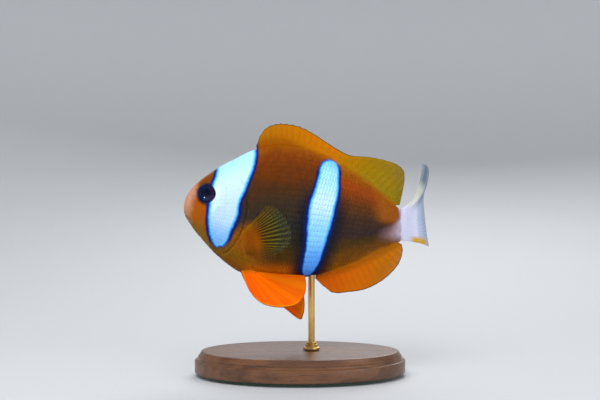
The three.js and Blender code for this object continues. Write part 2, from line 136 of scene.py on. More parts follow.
def mouth_line(x):
    """How far along the mouth x is, 0 at the front and 1 at the corner, and how high its line is there."""
    along = (x - MOUTH_FRONT[0]) / (MOUTH_CORNER[0] - MOUTH_FRONT[0])
    share = np.clip(along, -LIP_OVERRUN, 1 + LIP_OVERRUN)
    return along, MOUTH_FRONT[1] + (MOUTH_CORNER[1] - MOUTH_FRONT[1]) * share


# %% The body's surface, straight and swimming
def section(x, above):
    """A section's widest level, how far it reaches up or down from there, and how sharp its keel is."""
    level = widest_z(x)
    reach = np.where(above, back_z(x) - level, level - belly_z(x))
    return level, reach, np.where(above, back_keel(x), belly_keel(x))


def body_point(x, turn):
    """The straight body's surface, set in by the coat's depth."""
    up, side = np.sin(turn), np.cos(turn)
    level, reach, keel = section(x, up > 0)
    grow = -COAT * np.clip(np.sqrt(np.maximum(x - SNOUT_X, 0)) / SNOUT_FADE, 0, 1)
    z = level + up * (reach + grow)
    along, line_z = mouth_line(x)
    swell = LIP_HEIGHT * (1 - smooth(along, 0.6, 1.5)) * bump(z - line_z, LIP_WIDTH)
    y = np.sign(side) * np.abs(side) ** keel * np.maximum(half_width(x) + grow + swell, 0)
    slid = np.interp(x, [SNOUT_X, TAIL_ROOT_X], [COAT, -COAT]) - swell
    return np.stack([x + slid, y, z], axis=-1)


def swung(p):
    """Straight fish to swimming fish."""
    past = np.maximum(p[..., 0] - SWING_START_X, 0)
    angle = np.arctan(past / SWING_RADIUS)
    aside = past * past / (2 * SWING_RADIUS)
    x = p[..., 0] - p[..., 1] * np.sin(angle)
    return np.stack([x, aside + p[..., 1] * np.cos(angle), p[..., 2]], axis=-1)


def side_at(x, z):
    """How far out from the middle the straight body's full-size surface is."""
    level, reach, keel = section(x, z > widest_z(x))
    share = np.clip(np.abs(z - level) / reach, 0, 1)
    return half_width(x) * np.sqrt(1 - share * share) ** keel


# %% [markdown]
# ## Lines drawn on the side of the fish
# The gill cover, the cheekbone and the bars are all given by lines drawn on the fish's side view. Every
# point of the skin is then asked how far it is from a line, and on which side. A few points and a smooth
# curve through them are enough for each line.

# %% Lines and distances
def smooth_line(points, count=40):
    """Evenly spread points on a smooth curve through [x, z] points."""
    points = np.array(points, float)
    steps = np.hypot(*np.diff(points, axis=0).T)
    along = np.concatenate([[0], np.cumsum(steps)])
    rows = [(a, x, z) for a, (x, z) in zip(along, points)]
    at = np.linspace(0, along[-1], count)
    return np.stack([through(rows, 1)(at), through(rows, 2)(at)], axis=-1)


def distance(line, x, z):
    """Distance from each [x, z] to a line, above 0 on the line's left as it runs."""
    best = np.full(x.shape, np.inf)
    side = np.ones(x.shape)
    for a, b in zip(line[:-1], line[1:]):
        run = b - a
        t = np.clip(((x - a[0]) * run[0] + (z - a[1]) * run[1]) / (run @ run), 0, 1)
        away = np.hypot(x - a[0] - t * run[0], z - a[1] - t * run[1])
        nearer = away < best
        turn = run[0] * (z - a[1]) - run[1] * (x - a[0])
        side = np.where(nearer, np.sign(turn), side)
        best = np.where(nearer, away, best)
    return best * side


def inside(outline, x, z):
    """Distance to a closed outline, above 0 inside it."""
    odd = np.zeros(x.shape, bool)
    for a, b in zip(outline, np.roll(outline, -1, axis=0)):
        crosses = (a[1] > z) != (b[1] > z)
        drop = np.where(crosses, b[1] - a[1], 1)
        odd ^= crosses & (x < a[0] + (z - a[1]) * (b[0] - a[0]) / drop)
    closed = np.concatenate([outline, outline[:1]])
    return np.where(odd, 1, -1) * np.abs(distance(closed, x, z))


# %% [markdown]
# ## Relief
# The head is where a fish is read, so its skin carries real shape: a socket round each eye, lips with a
# cleft between, one nostril a side, the cheekbone's edge and the gill cover, which stands a little proud
# and ends in a free edge over the gill slit. Each is a small push along the skin's normal, as a function
# of the side view.

# %% The head's features
EYE_X, EYE_Z = -36.5, 72.4
EYE_RADIUS, EYE_FLAT, EYE_SUNK = 4.3, 3.1, 1.75
EYE_FORWARDS, EYE_UPWARDS = math.radians(14), math.radians(8)
NOSTRIL = (-41.2, 74.0)
GILL_EDGE = smooth_line([(-24.6, 80.4), (-21.7, 76.3), (-20.4, 70), (-20.6, 64.5), (-22.3, 58.2),
                         (-25.2, 52.8), (-28.4, 49.3), (-31.6, 47.9)])
CHEEK_BONE = smooth_line([(-28.6, 76.6), (-29, 68), (-29.8, 61.4), (-32.6, 57), (-36.4, 54.2)])
EYE_BONE = smooth_line([(-43.4, 66.8), (-41, 67.2), (-37.5, 66.6), (-33.5, 67.8), (-31.6, 71)], 20)
JAW_BONE = smooth_line([(-42.9, 61.6), (-41.2, 59.6), (-40.3, 57), (-39.6, 54.2)], 16)
PECTORAL_BASE = (-17.6, 53.9)
# Heights between which each edge fades in from below, and then fades out.
GILL_ENDS, CHEEK_ENDS = (47.3, 49.5, 75.5, 80.5), (53.2, 55.5, 74.5, 77)


def eye_distance(x, z):
    return np.hypot(x - EYE_X, z - EYE_Z)


def nostril_distance(x, z):
    return np.hypot(x - NOSTRIL[0], z - NOSTRIL[1])


def between(z, fades):
    return smooth(z, fades[0], fades[1]) * (1 - smooth(z, fades[2], fades[3]))


def features(p):
    """Masks from 0 to 1, at straight points, of the mouth's cleft, the nostril, the gill slit and the cheek's
    crease, and of how far the gill cover's edge and the cheekbone reach."""
    x, z = p[..., 0], p[..., 2]
    along, line_z = mouth_line(x)
    cleft = bump(z - line_z, 0.16) * (1 - smooth(along, 0.85, 1.1))
    nostril = bump(nostril_distance(x, z), 0.34)
    gill_ends, cheek_ends = between(z, GILL_ENDS), between(z, CHEEK_ENDS)
    slit = bump(distance(GILL_EDGE, x, z) + 0.5, 0.34) * gill_ends
    crease = bump(distance(CHEEK_BONE, x, z) + 0.4, 0.3) * cheek_ends
    return cleft, nostril, slit, crease, gill_ends, cheek_ends


# %% Relief of the head
def relief(p):
    """How far the skin stands out from the plain body at each straight point."""
    x, z = p[..., 0], p[..., 2]
    cleft, nostril, slit, crease, gill_ends, cheek_ends = features(p)
    # The eye's raised rim, its socket and the furrow round it.
    eye = eye_distance(x, z)
    out = 0.32 * bump(eye - 3.85, 0.5) - 2.4 * (1 - smooth(eye, 2.85, 3.5)) - 0.12 * bump(eye - 4.9, 0.4)
    # The nostril with its rim, and the mouth.
    out += 0.14 * bump(nostril_distance(x, z) - 0.62, 0.2) - 0.55 * nostril - 0.5 * cleft
    # The gill cover rises slowly to its free edge and drops into the slit.
    gill = -distance(GILL_EDGE, x, z)
    flap = smooth(gill, -7, -0.6) * (1 - smooth(gill, 0.0, 0.3))
    out += gill_ends * (0.4 * flap + 0.1 * bump(gill + 0.35, 0.3)) - 0.5 * slit
    # The cheek does the same in small, and two bones lie as furrows under the eye and behind the mouth.
    cheek = -distance(CHEEK_BONE, x, z)
    out += 0.2 * cheek_ends * smooth(cheek, -5, -0.3) * (1 - smooth(cheek, 0, 0.3)) - 0.14 * crease
    out -= 0.16 * bump(distance(EYE_BONE, x, z), 0.3)
    out -= 0.14 * bump(distance(JAW_BONE, x, z), 0.25)
    # The fleshy lobe that the pectoral fin grows from.
    lobe = np.hypot((x - PECTORAL_BASE[0]) / 4.2, (z - PECTORAL_BASE[1]) / 5.2)
    out += 0.7 * bump(lobe, 0.75)
    return out


# %% The skin's surface
def surface(x, turn, lift=0.0):
    """The skin at a place along and a turn round, raised by lift: swimming points and straight points."""
    step = 1e-3
    root = np.sqrt(np.maximum(x - SNOUT_X, 0))
    ahead, behind = SNOUT_X + np.maximum(root - step, 0) ** 2, SNOUT_X + (root + step) ** 2
    straight = body_point(x, turn)
    along = swung(body_point(np.minimum(behind, TAIL_ROOT_X), turn)) - swung(body_point(ahead, turn))
    around = swung(body_point(x, turn + step)) - swung(body_point(x, turn - step))
    normal = np.cross(along, around)
    size = np.linalg.norm(normal, axis=-1, keepdims=True)
    pole = np.array([-1.0, 0, 0]) * np.ones_like(normal)  # at the snout's tip the section has no size
    normal = np.where(size > TINY, normal / np.maximum(size, TINY), pole)
    outward = np.sign(np.sum(normal * np.stack([0 * x, np.cos(turn), np.sin(turn)], axis=-1), axis=-1))
    normal = normal * np.where(outward == 0, 1, outward)[..., None]
    return swung(straight) + normal * (relief(straight) + lift)[..., None], straight


# %% [markdown]
# ## The bars
# Two pale bars cross the fish, each edged in dark blue. Each bar is one outline on the side view. The skin
# and the scales store how far inside each bar they are, in millimetres, and the paint turns that into an
# edge, a dark line outside it and a blue rim inside it. Stored this way, an edge can be much finer than
# the mesh.

# %% Bar outlines
HEAD_BAR = smooth_line([
    (-32.6, 96), (-32.9, 84), (-33.2, 80), (-34.4, 76), (-35, 72), (-35.8, 67.2), (-36.2, 63), (-35.8, 57.3),
    (-34.4, 53), (-33, 51.4), (-31.6, 51.8), (-30.2, 51.9), (-28.6, 53.9), (-27.2, 57.5), (-24.9, 62.3),
    (-23.9, 65.8), (-23.4, 69.3), (-21.8, 72.8), (-19.6, 78.4), (-17.9, 83.4), (-17.3, 87.7), (-17.6, 90.6),
    (-17.9, 96)], 70)
MID_BAR = smooth_line([
    (11.7, 86.0), (9.3, 85.2), (7.9, 82.6), (7.3, 79.4), (5.8, 74.2), (4, 69.3), (3.3, 64.4), (2.8, 58.8),
    (2.6, 53.2), (1.8, 47.6), (1, 42), (1.8, 39.9), (3.5, 40.2), (5.2, 41.6), (6.9, 44.2), (8, 47),
    (9.4, 51.1), (10.9, 56), (12.6, 61.6), (13.8, 67.2), (15.1, 72.8), (15.3, 77.8), (15.5, 82.2),
    (14.4, 85), (11.7, 86.0)], 80)[:-1]

# The face's profile, from the chin over the snout to the nape. The front of the face is pale along it.
PROFILE_X = SNOUT_X + np.linspace(0, 1, 30) ** 2 * 20
PROFILE = np.concatenate([[(-44.4, 61.0), (-45.6, 63.0), (-46.3, 65.2)],
                          np.stack([PROFILE_X, back_z(PROFILE_X)], axis=-1)])


def bars_at(p):
    """How far inside each bar a straight point is, and its level from 0 at the belly to 1 at the back."""
    x, z = p[..., 0], p[..., 2]
    low, high = belly_z(x), back_z(x)
    level = (z - low) / np.maximum(high - low, 0.5)
    return np.stack([inside(HEAD_BAR, x, z), inside(MID_BAR, x, z), level], axis=-1)


def face_at(p):
    """Distance from the front of the face and from the eye, and how deep in a crease a straight point is,
    which the markings paint as shade.
    """
    x, z = p[..., 0], p[..., 2]
    cleft, nostril, slit, crease, _, _ = features(p)
    depth = np.clip(cleft + nostril + 0.45 * slit + 0.2 * crease, 0, 1)
    return np.stack([np.abs(distance(PROFILE, x, z)), eye_distance(x, z), depth], axis=-1)


def marks_at(p):
    return {"rest": p, "bars": bars_at(p), "face": face_at(p)}


print("Points round the bars:", len(HEAD_BAR), len(MID_BAR))

# %% [markdown]
# ## The body's skin
# The body starts as a ball with its poles at the snout and the tail. Its faces are split once more where
# the head's small features are, while it is still a ball, so that every new point can be put back on the
# ball and then take its true place. Splitting after shaping would leave flat spots.

# %% From a ball to the fish
ROUND_PARTS, LENGTH_PARTS = 132, 176


def ball_to_fish(co):
    """Points of a unit ball to places along the fish and turns round it."""
    ring = np.arccos(np.clip(co[:, 2], -1, 1)) / math.pi
    share = np.minimum(ring * LENGTH_PARTS / (LENGTH_PARTS - 1), 1)
    x = SNOUT_X + (TAIL_ROOT_X - SNOUT_X) * (1 - np.cos(share * math.pi / 2))
    return x, np.arctan2(co[:, 1], -co[:, 0])


# %% A ball with finer faces where they are needed
def fine_detail(p):
    """True where the skin needs finer faces."""
    x, z = p[:, 0], p[:, 2]
    eye = eye_distance(x, z)
    along, line_z = mouth_line(x)
    near_mouth = (np.abs(z - line_z) < 0.9) & (along < 1.25)
    near_gill = (np.abs(distance(GILL_EDGE, x, z)) < 0.8) & (z > 47.3) & (z < 81.5)
    return ((eye > 2.6) & (eye < 4.4)) | near_mouth | near_gill | (nostril_distance(x, z) < 1.2)


def skin_ball():
    bm = bmesh.new()
    bmesh.ops.create_uvsphere(bm, u_segments=ROUND_PARTS, v_segments=LENGTH_PARTS, radius=1)
    middles = np.array([face.calc_center_median().normalized() for face in bm.faces])
    wanted = fine_detail(body_point(*ball_to_fish(middles)))
    edges = {edge for face, fine in zip(bm.faces[:], wanted) if fine for edge in face.edges}
    bmesh.ops.subdivide_edges(bm, edges=list(edges), cuts=1, use_grid_fill=True)
    bmesh.ops.triangulate(bm, faces=[face for face in bm.faces if len(face.verts) > 4])
    for vert in bm.verts:
        vert.co.normalize()
    return bm


# %% Notes and points of a mesh
def note(mesh, name, values):
    """Stores a vector for each point of a mesh, under a name that paint can read."""
    layer = mesh.attributes.get(name) or mesh.attributes.new(name, "FLOAT_VECTOR", "POINT")
    layer.data.foreach_set("vector", np.ascontiguousarray(values, np.float32).ravel())


def noted(mesh, name):
    values = np.empty(len(mesh.vertices) * 3, np.float32)
    mesh.attributes[name].data.foreach_get("vector", values)
    return values.reshape(-1, 3)


def points_of(mesh):
    values = np.empty(len(mesh.vertices) * 3, np.float32)
    mesh.vertices.foreach_get("co", values)
    return values.reshape(-1, 3).astype(float)


# %% Mesh objects
def new_object(name, mesh):
    made = bpy.data.objects.new(name, mesh)
    bpy.context.scene.collection.objects.link(made)
    return made


def smooth_faces(mesh):
    mesh.polygons.foreach_set("use_smooth", [True] * len(mesh.polygons))


def paint_named(name):
    return bpy.data.materials.get(name) or bpy.data.materials.new(name)


def finish_mesh(bm, name, points, notes):
    """A mesh object from a bmesh whose points are moved to millimetre places, with its notes."""
    mesh = bpy.data.meshes.new(name)
    bm.to_mesh(mesh)
    bm.free()
    mesh.vertices.foreach_set("co", (points * MM).astype(np.float32).ravel())
    for key, values in notes.items():
        note(mesh, key, values)
    mesh.update()
    return new_object(name, mesh)


def face_outwards(made):
    bm = bmesh.new()
    bm.from_mesh(made.data)
    bmesh.ops.recalc_face_normals(bm, faces=bm.faces[:])
    bm.to_mesh(made.data)
    bm.free()


# %% Make the body's skin
bm = skin_ball()
ball = np.array([vert.co for vert in bm.verts])
place, turn = ball_to_fish(ball)
skin_points, straight = surface(place, turn)
none = np.zeros_like(straight)
body = finish_mesh(bm, "skin", skin_points, {**marks_at(straight), "fin": none, "spread": none})
face_outwards(body)
print("Body skin faces:", len(body.data.polygons))

# %% [markdown]
# ## Fins
# A fin is a fan of bony rays with thin skin between. A spine is one stiff rod, and a soft ray forks
# towards its tip. Each fin starts as a flat grid given two faces, and every point is then moved to its
# place on the fan, out from the middle by half the thickness there: thick on a ray, thin on the web, and
# flared at the fleshy root, which runs on into the body so that the two can be joined.

# %% Two faces of a fin
WEB_THICK = 0.17
RAY_WIDE = 0.15  # as a share of the room from ray to ray
ROOT_SPREAD = 1.5  # how fast the flare at the root dies out
INSIDE = 0.2  # how much of a blade lies inside the body, as a share of what stands out


def ray_ridges(across, v, forks, wide):
    """1 on the middle of a ray and 0 on the web. forks is 0 for spines and 1 for soft rays, which split."""
    away = np.abs(across - np.round(across))
    first = wide * smooth(v, 0.38, 0.62) * forks
    second = wide / 2 * smooth(v, 0.7, 0.9) * forks
    width = wide * (1 - 0.4 * smooth(v, 0.4, 0.8) * forks)
    near = np.minimum(np.abs(away - first - second), np.abs(away - first + second))
    return bump(near, width)


def fin_sheet(ray_at, place, outline, root_thick, ray_thick, forks, wide=RAY_WIDE, spread=ROOT_SPREAD):
    """A fin's two faces as one function of u across the rays, v along them and the face, 1 or -1. ray_at
    counts the rays up to u. place gives straight points and outline swimming ones. Below v = 0 they lie in
    the body."""
    def sheet(u, v, face, lift=0.0):
        step = 1e-3
        across = outline(np.minimum(u + step, 1), v) - outline(np.maximum(u - step, 0), v)
        ahead = np.minimum(v + step, 1)
        along = outline(u, ahead) - outline(u, ahead - 2 * step)
        normal = np.cross(across, along)
        normal /= np.linalg.norm(normal, axis=-1, keepdims=True)
        middle = outline(u, v)
        reach = np.linalg.norm(outline(u, 0 * v + 1) - outline(u, 0 * v), axis=-1)
        from_root = v * reach
        ray = ray_ridges(ray_at(u), v, forks(u), wide)
        web = WEB_THICK * (1 - 0.5 * smooth(v, 0.6, 1))
        rib = web + (ray_thick * (1 - 0.75 * np.clip(v, 0, 1)) - WEB_THICK) * ray * (1 - smooth(v, 0.97, 1.0))
        flare = np.where(v < 0, 1, bump(np.maximum(from_root, 0), spread))
        thick = np.maximum(rib, rib + (root_thick(u) - rib) * flare)
        front_gap = np.linalg.norm(middle - outline(0 * u, v), axis=-1)
        rear_gap = np.linalg.norm(middle - outline(0 * u + 1, v), axis=-1)
        edge = np.minimum.reduce([(1 - v) * reach, front_gap, rear_gap])
        notes = marks_at(place(u, v))
        notes["fin"] = np.stack([ray, v, edge], axis=-1)
        notes["spread"] = np.stack([u, from_root, reach], axis=-1)
        return middle + normal * (face * (thick / 2 + lift))[..., None], notes

    return sheet


# %% Blade of a fin
def blade(name, sheet, columns, rows, inside_share=INSIDE):
    """The fin's mesh: a grid with two faces, moved onto the sheet."""
    bm = bmesh.new()
    bmesh.ops.create_grid(bm, x_segments=columns, y_segments=rows, size=0.5)
    bmesh.ops.solidify(bm, geom=bm.faces[:], thickness=1)
    co = np.array([vert.co for vert in bm.verts])
    v = np.clip(co[:, 1] + 0.5, 0, 1) * (1 + inside_share) - inside_share
    face = np.where(co[:, 2] > co[:, 2].mean(), 1, -1)
    points, notes = sheet(np.clip(co[:, 0] + 0.5, 0, 1), v, face)
    return finish_mesh(bm, name, points, notes)


# %% [markdown]
# ## Back and belly fins
# The dorsal fin has ten stiff spines and then seventeen soft rays, and its edge is notched a little
# between the spines. The anal fin has two spines and fourteen soft rays. Both lean back, and both carry a
# slow sideways wave.

# %% Outlines of the dorsal and anal fins
WAVE_ANGLE = 7  # radians of the slow sideways wave from one end of a fin to the other
DORSAL = {
    "front": -17.3, "rear": 38.6, "rays": 27, "spines": 10, "wave": 0.5,
    "tips": [(0, -17.3, 92), (0.04, -16, 95.6), (0.08, -13.8, 98.7), (0.14, -10.2, 100.4),
             (0.22, -5.6, 100.6), (0.3, 0.2, 99.4), (0.38, 5.4, 96.6), (0.46, 10.9, 92.9), (0.53, 15.9, 89.8),
             (0.59, 20.4, 87.8), (0.67, 27, 87.3), (0.75, 34, 86.1), (0.82, 39.2, 84.4), (0.88, 42.1, 81.9),
             (0.93, 42.6, 78), (0.97, 41.8, 73), (1, 40.6, 68)],
}
ANAL = {
    "front": 6.2, "rear": 39.8, "rays": 16, "spines": 2, "wave": -0.4,
    "tips": [(0, 6.2, 38.6), (0.06, 8.8, 36), (0.13, 12.9, 33), (0.28, 19.4, 33.2), (0.44, 26, 34.2),
             (0.6, 32.4, 37), (0.72, 37.2, 40.6), (0.83, 40.4, 44.6), (0.92, 41.7, 49), (1, 41.2, 52)],
}
SCALLOP = 0.03  # how far the web's edge dips between two spines, as a share of the ray
INTO_BODY = 2.2
STOUT_RAY = 0.5  # thickness of the rays of the back, belly and tail fins


# %% Middle of the dorsal or anal fin
def median_fin(fin, outline_z, away):
    """The straight middle surface of a fin on the back (away = 1) or the belly (away = -1)."""
    tip_x, tip_z = through(fin["tips"], 1), through(fin["tips"], 2)

    def place(u, v):
        root_x = fin["front"] + (fin["rear"] - fin["front"]) * u
        root_z = outline_z(root_x) - away * COAT
        across = u * fin["rays"]
        spiny = 1 - smooth(across, fin["spines"] - 1, fin["spines"] + 1)
        dip = np.abs(np.sin(math.pi * across)) * (SCALLOP * spiny + 0.25 * SCALLOP)
        grown = np.maximum(v, 0) * (1 - dip * smooth(v, 0.5, 1))
        billow = 0.14 * np.sin(2 * math.pi * across) * smooth(v, 0.1, 0.7) * spiny
        aside = fin["wave"] * np.sin(u * WAVE_ANGLE) * grown ** 2 + billow
        x = root_x + (tip_x(u) - root_x) * grown
        z = root_z + (tip_z(u) - root_z) * grown + away * INTO_BODY * np.minimum(v, 0) / INSIDE
        return np.stack([x, aside, z], axis=-1)

    return place


def rays_of(fin):
    return lambda u: u * fin["rays"]


def forks_after(fin):
    """Only the soft rays behind the spines fork."""
    return lambda u: smooth(u * fin["rays"], fin["spines"] - 0.5, fin["spines"] + 0.5)


def median_sheet(fin, outline_z, away, root_thick):
    place = median_fin(fin, outline_z, away)
    return fin_sheet(rays_of(fin), place, lambda u, v: swung(place(u, v)), root_thick, STOUT_RAY,
                     forks_after(fin))


# %% Make the dorsal and anal fins
def root_taper(full, ends):
    """Root thickness that falls away at both ends of a fin."""
    return lambda u: ends + (full - ends) * np.sqrt(np.clip(4 * u * (1 - u), 0, 1))


dorsal_sheet = median_sheet(DORSAL, back_z, 1, root_taper(1.8, 0.8))
anal_sheet = median_sheet(ANAL, belly_z, -1, root_taper(1.7, 0.8))
dorsal = blade("dorsal", dorsal_sheet, columns=DORSAL["rays"] * 8, rows=26)
anal = blade("anal", anal_sheet, columns=ANAL["rays"] * 8, rows=22)

# %% [markdown]
# ## Tail fin
# The tail is in the middle of its stroke. Each ray is walked from the root in short steps while its rise
# and its swing change along it, which turns the upper lobe nearly edge-on, as in life.

# %% Caudal fin
CAUDAL = {
    "low": 53.6, "high": 66.4, "rays": 17, "swing_bend": 0.8, "rise_bend": 0.61, "steps": 12,
    "rows": [(0, -5.8, -10, 25, 77.1), (0.2, -1.6, -4.7, 23.1, 77.4), (0.4, 2.3, 9.5, 22, 78.9),
             (0.6, 5.3, 25.3, 22.1, 80.6), (0.75, 11.6, 29.3, 23.3, 81.3), (0.86, 12.5, 40, 25.3, 78.5),
             (0.94, 14.8, 47.3, 29.8, 78), (1, 14.9, 74.4, 24.8, 70.3)],
}
CAUDAL_ROOT_X = TAIL_ROOT_X + 0.3
CAUDAL_INTO_BODY, CAUDAL_SPREAD = 3.6, 3.6


def caudal_walk(u, v, swings):
    """Points along the tail's rays, swung aside or, for the straight fish, not."""
    root_rise, tip_rise, length, tip_swing = [through(CAUDAL["rows"], column) for column in (1, 2, 3, 4)]
    root_swing = math.atan((CAUDAL_ROOT_X - SWING_START_X) / SWING_RADIUS)
    root_z = CAUDAL["low"] + (CAUDAL["high"] - CAUDAL["low"]) * u
    root_x = CAUDAL_ROOT_X + np.minimum(v, 0) * CAUDAL_INTO_BODY / INSIDE
    root = np.stack([root_x, 0 * u, root_z], axis=-1)
    point = swung(root) if swings else root
    stride = length(u) * np.maximum(v, 0) / CAUDAL["steps"]
    for i in range(CAUDAL["steps"]):
        share = (i + 0.5) / CAUDAL["steps"] * np.maximum(v, 0)
        rise = np.radians(root_rise(u) + (tip_rise(u) - root_rise(u)) * share ** CAUDAL["rise_bend"])
        swing = root_swing + (np.radians(tip_swing(u)) - root_swing) * share ** CAUDAL["swing_bend"]
        swing = swing if swings else 0 * swing
        level = stride * np.cos(rise)
        ahead, aside = level * np.cos(swing), level * np.sin(swing)
        point = point + np.stack([ahead, aside, stride * np.sin(rise)], axis=-1)
    return point


caudal_sheet = fin_sheet(rays_of(CAUDAL), lambda u, v: caudal_walk(u, v, False),
                         lambda u, v: caudal_walk(u, v, True), root_taper(1.8, 0.9), STOUT_RAY,
                         forks=lambda u: 0 * u + 1, spread=CAUDAL_SPREAD)
caudal = blade("caudal", caudal_sheet, columns=CAUDAL["rays"] * 9, rows=34)

# %% [markdown]
# ## Paired fins
# The pectoral fins row the fish along. Each grows from a fleshy lobe behind the gill cover and spreads
# into a clear fan of fine rays. The pelvic fins hang below, with one spine in front and five thick, much
# forked rays.

# %% Sizes of the pectoral and pelvic fins
LEFT, RIGHT = -1, 1
SIDES = [(LEFT, "left"), (RIGHT, "right")]
PECTORAL = {
    "low": (-19.9, 48.6), "high": (-21.3, 58.6), "rays": 20, "crowding": 0.35, "sunk": 0.6, "inside": 0.12,
    LEFT: (30, 10), RIGHT: (22, 8),
    "rows": [(0, -12, 10), (0.15, -4.5, 14.6), (0.32, -1, 19.6), (0.5, 5, 22.6), (0.7, 16, 21.9),
             (0.87, 28, 18.9), (1, 40, 14.4)],
}
PELVIC = {
    "front": (-23.4, 41, 2), "rear": (-16.8, 41.4, 3.6), "rays": 6, "bow": 0.8, "into_body": 12,
    LEFT: (42, [(0, 68, 9.8), (0.15, 69, 13.1), (0.3, 66, 16.5), (0.45, 60, 19.2), (0.6, 51.7, 21.7),
                (0.72, 42.5, 23.4), (0.83, 32, 22.8), (0.92, 19.7, 21), (1, 5, 18.7)]),
    RIGHT: (12, [(0, 44, 15.6), (0.15, 43.6, 21.4), (0.35, 43.9, 29), (0.5, 39.9, 28), (0.7, 34.6, 25.1),
                 (0.85, 26.5, 21.6), (1, 17, 18.3)]),
}


# %% Pectoral fin
def pectoral_ray(u):
    """The number of rays up to u. They stand closer together at both edges of the fan."""
    return PECTORAL["rays"] * (u + PECTORAL["crowding"] * np.sin(2 * math.pi * u) / (2 * math.pi))


def pectoral_place(side):
    flare, curl = PECTORAL[side]
    rise, length = through(PECTORAL["rows"], 1), through(PECTORAL["rows"], 2)
    low, high = PECTORAL["low"], PECTORAL["high"]

    def place(u, v):
        x, z = low[0] + (high[0] - low[0]) * u, low[1] + (high[1] - low[1]) * u
        up, out = np.radians(rise(u)), np.radians(flare + curl * np.maximum(v, 0))
        reach = length(u) * v
        level = reach * np.cos(up)
        billow = 0.08 * np.sin(2 * math.pi * pectoral_ray(u)) * smooth(v, 0.3, 0.8)
        y = side_at(x, z) - PECTORAL["sunk"] + level * np.sin(out) + billow
        return np.stack([x + level * np.cos(out), side * y, z + reach * np.sin(up)], axis=-1)

    return place


# %% Pelvic fin
def pelvic_place(side):
    flare, rows = PELVIC[side]
    drop, length, out = through(rows, 1), through(rows, 2), math.radians(flare)
    front, rear = PELVIC["front"], PELVIC["rear"]

    def place(u, v):
        down = np.radians(drop(u))
        reach = np.where(v < 0, v * PELVIC["into_body"], length(u) * v)
        fall = reach * np.sin(down)
        y = front[2] + (rear[2] - front[2]) * u + fall * math.sin(out) + np.sin(math.pi * v) * PELVIC["bow"]
        x = front[0] + (rear[0] - front[0]) * u + reach * np.cos(down)
        z = front[1] + (rear[1] - front[1]) * u - fall * math.cos(out)
        return np.stack([x, side * y, z], axis=-1)

    return place


# %% Make the paired fins
pectoral_sheets, pectorals, pelvics = {}, [], []
for side, name in SIDES:
    place = pectoral_place(side)
    pectoral_sheets[side] = fin_sheet(pectoral_ray, place, place, root_taper(2.4, 1.6), ray_thick=0.4,
                                      forks=lambda u: 0 * u + 0.12, wide=0.2)
    pectorals.append(blade(f"pectoral_{name}", pectoral_sheets[side], columns=PECTORAL["rays"] * 8, rows=26,
                           inside_share=PECTORAL["inside"]))
    place = pelvic_place(side)
    pelvic_sheet = fin_sheet(rays_of(PELVIC), place, place, root_taper(2.4, 1.6), ray_thick=0.42,
                             forks=lambda u: smooth(u * PELVIC["rays"], 0.4, 0.9))
    pelvics.append(blade(f"pelvic_{name}", pelvic_sheet, columns=PELVIC["rays"] * 18, rows=28))

# %% Which paint each part of the skin takes
PAINT_ORDER = ["body", "median", "caudal", "pectoral", "pelvic"]
for made, kind in [(body, "body"), (dorsal, "median"), (anal, "median"), (caudal, "caudal"),
                   *[(fin, "pectoral") for fin in pectorals], *[(fin, "pelvic") for fin in pelvics]]:
    for name in PAINT_ORDER:
        made.data.materials.append(paint_named("paint_" + name))
    made.data.polygons.foreach_set("material_index", [PAINT_ORDER.index(kind)] * len(made.data.polygons))
fins = [dorsal, anal, caudal, *pectorals, *pelvics]
for fin in fins:
    face_outwards(fin)
print("Fin faces:", {fin.name: len(fin.data.polygons) for fin in fins})

# %% [markdown]
# ## One skin
# A real fish has no line where a fin meets the body, so the fins are joined to the body by a union. A
# union makes new points along each join, which carry no notes, so every point then looks up the nearest
# point it came from. Last, the points round each join are smoothed, which turns the sharp corner into a
# small fillet of flesh.

# %% Join the fins to the body
sources = [body, *fins]
source_points = np.concatenate([points_of(made.data) for made in sources])
source_notes = {key: np.concatenate([noted(made.data, key) for made in sources])
                for key in ("rest", "bars", "face", "fin", "spread")}
for fin in fins:
    union = body.modifiers.new("grow_" + fin.name, "BOOLEAN")
    union.operation, union.solver, union.object = "UNION", "MANIFOLD", fin
bpy.context.view_layer.update()
joined = bpy.data.meshes.new_from_object(body.evaluated_get(bpy.context.evaluated_depsgraph_get()))
body.modifiers.clear()
body.data = joined
for fin in fins:
    bpy.data.objects.remove(fin)
print("Joined skin faces:", len(joined.polygons))


# %% Look up the notes and soften the joins
def look_up(points, among):
    """For each point, which point among others is nearest, and how far it is."""
    tree = kdtree.KDTree(len(among))
    for i, point in enumerate(among):
        tree.insert(point, i)
    tree.balance()
    found = [tree.find(point) for point in points]
    return np.array([entry[1] for entry in found]), np.array([entry[2] for entry in found])


SAME_PLACE = 1e-6  # in metres
FILLET_RINGS, FILLET_PASSES = 2, 5
nearest, gap = look_up(points_of(joined), source_points)
bm = bmesh.new()
bm.from_mesh(joined)
bm.verts.ensure_lookup_table()
seam = {bm.verts[i] for i in np.nonzero(gap > SAME_PLACE)[0]}
print("Points on the joins:", len(seam))
for _ in range(FILLET_RINGS):
    seam |= {edge.other_vert(vert) for vert in seam for edge in vert.link_edges}
for _ in range(FILLET_PASSES):
    bmesh.ops.smooth_vert(bm, verts=list(seam), factor=0.5, use_axis_x=True, use_axis_y=True, use_axis_z=True)
bm.to_mesh(joined)
bm.free()
for key, values in source_notes.items():
    note(joined, key, values[nearest])
smooth_faces(joined)
skin = body

# %% [markdown]
# ## The lie of the scales
# Scales sit in rows that run from head to tail, each row set half a scale on from the next, like roof
# tiles. To lay them out, a place on the flank is given by x and by the distance up or down the section
# from the widest level. Rows stay the same number of scales from that level, and the pitch shrinks towards
# the head and the tail, so rows draw together there and run out at the back and the belly, as they do on
# the fish.

# %% Distances round the section
SECTION_X = np.linspace(SNOUT_X + 0.5, TAIL_ROOT_X, 160)  # finely enough to read between two of them
SECTION_TURNS = np.linspace(-math.pi / 2, math.pi / 2, 121)


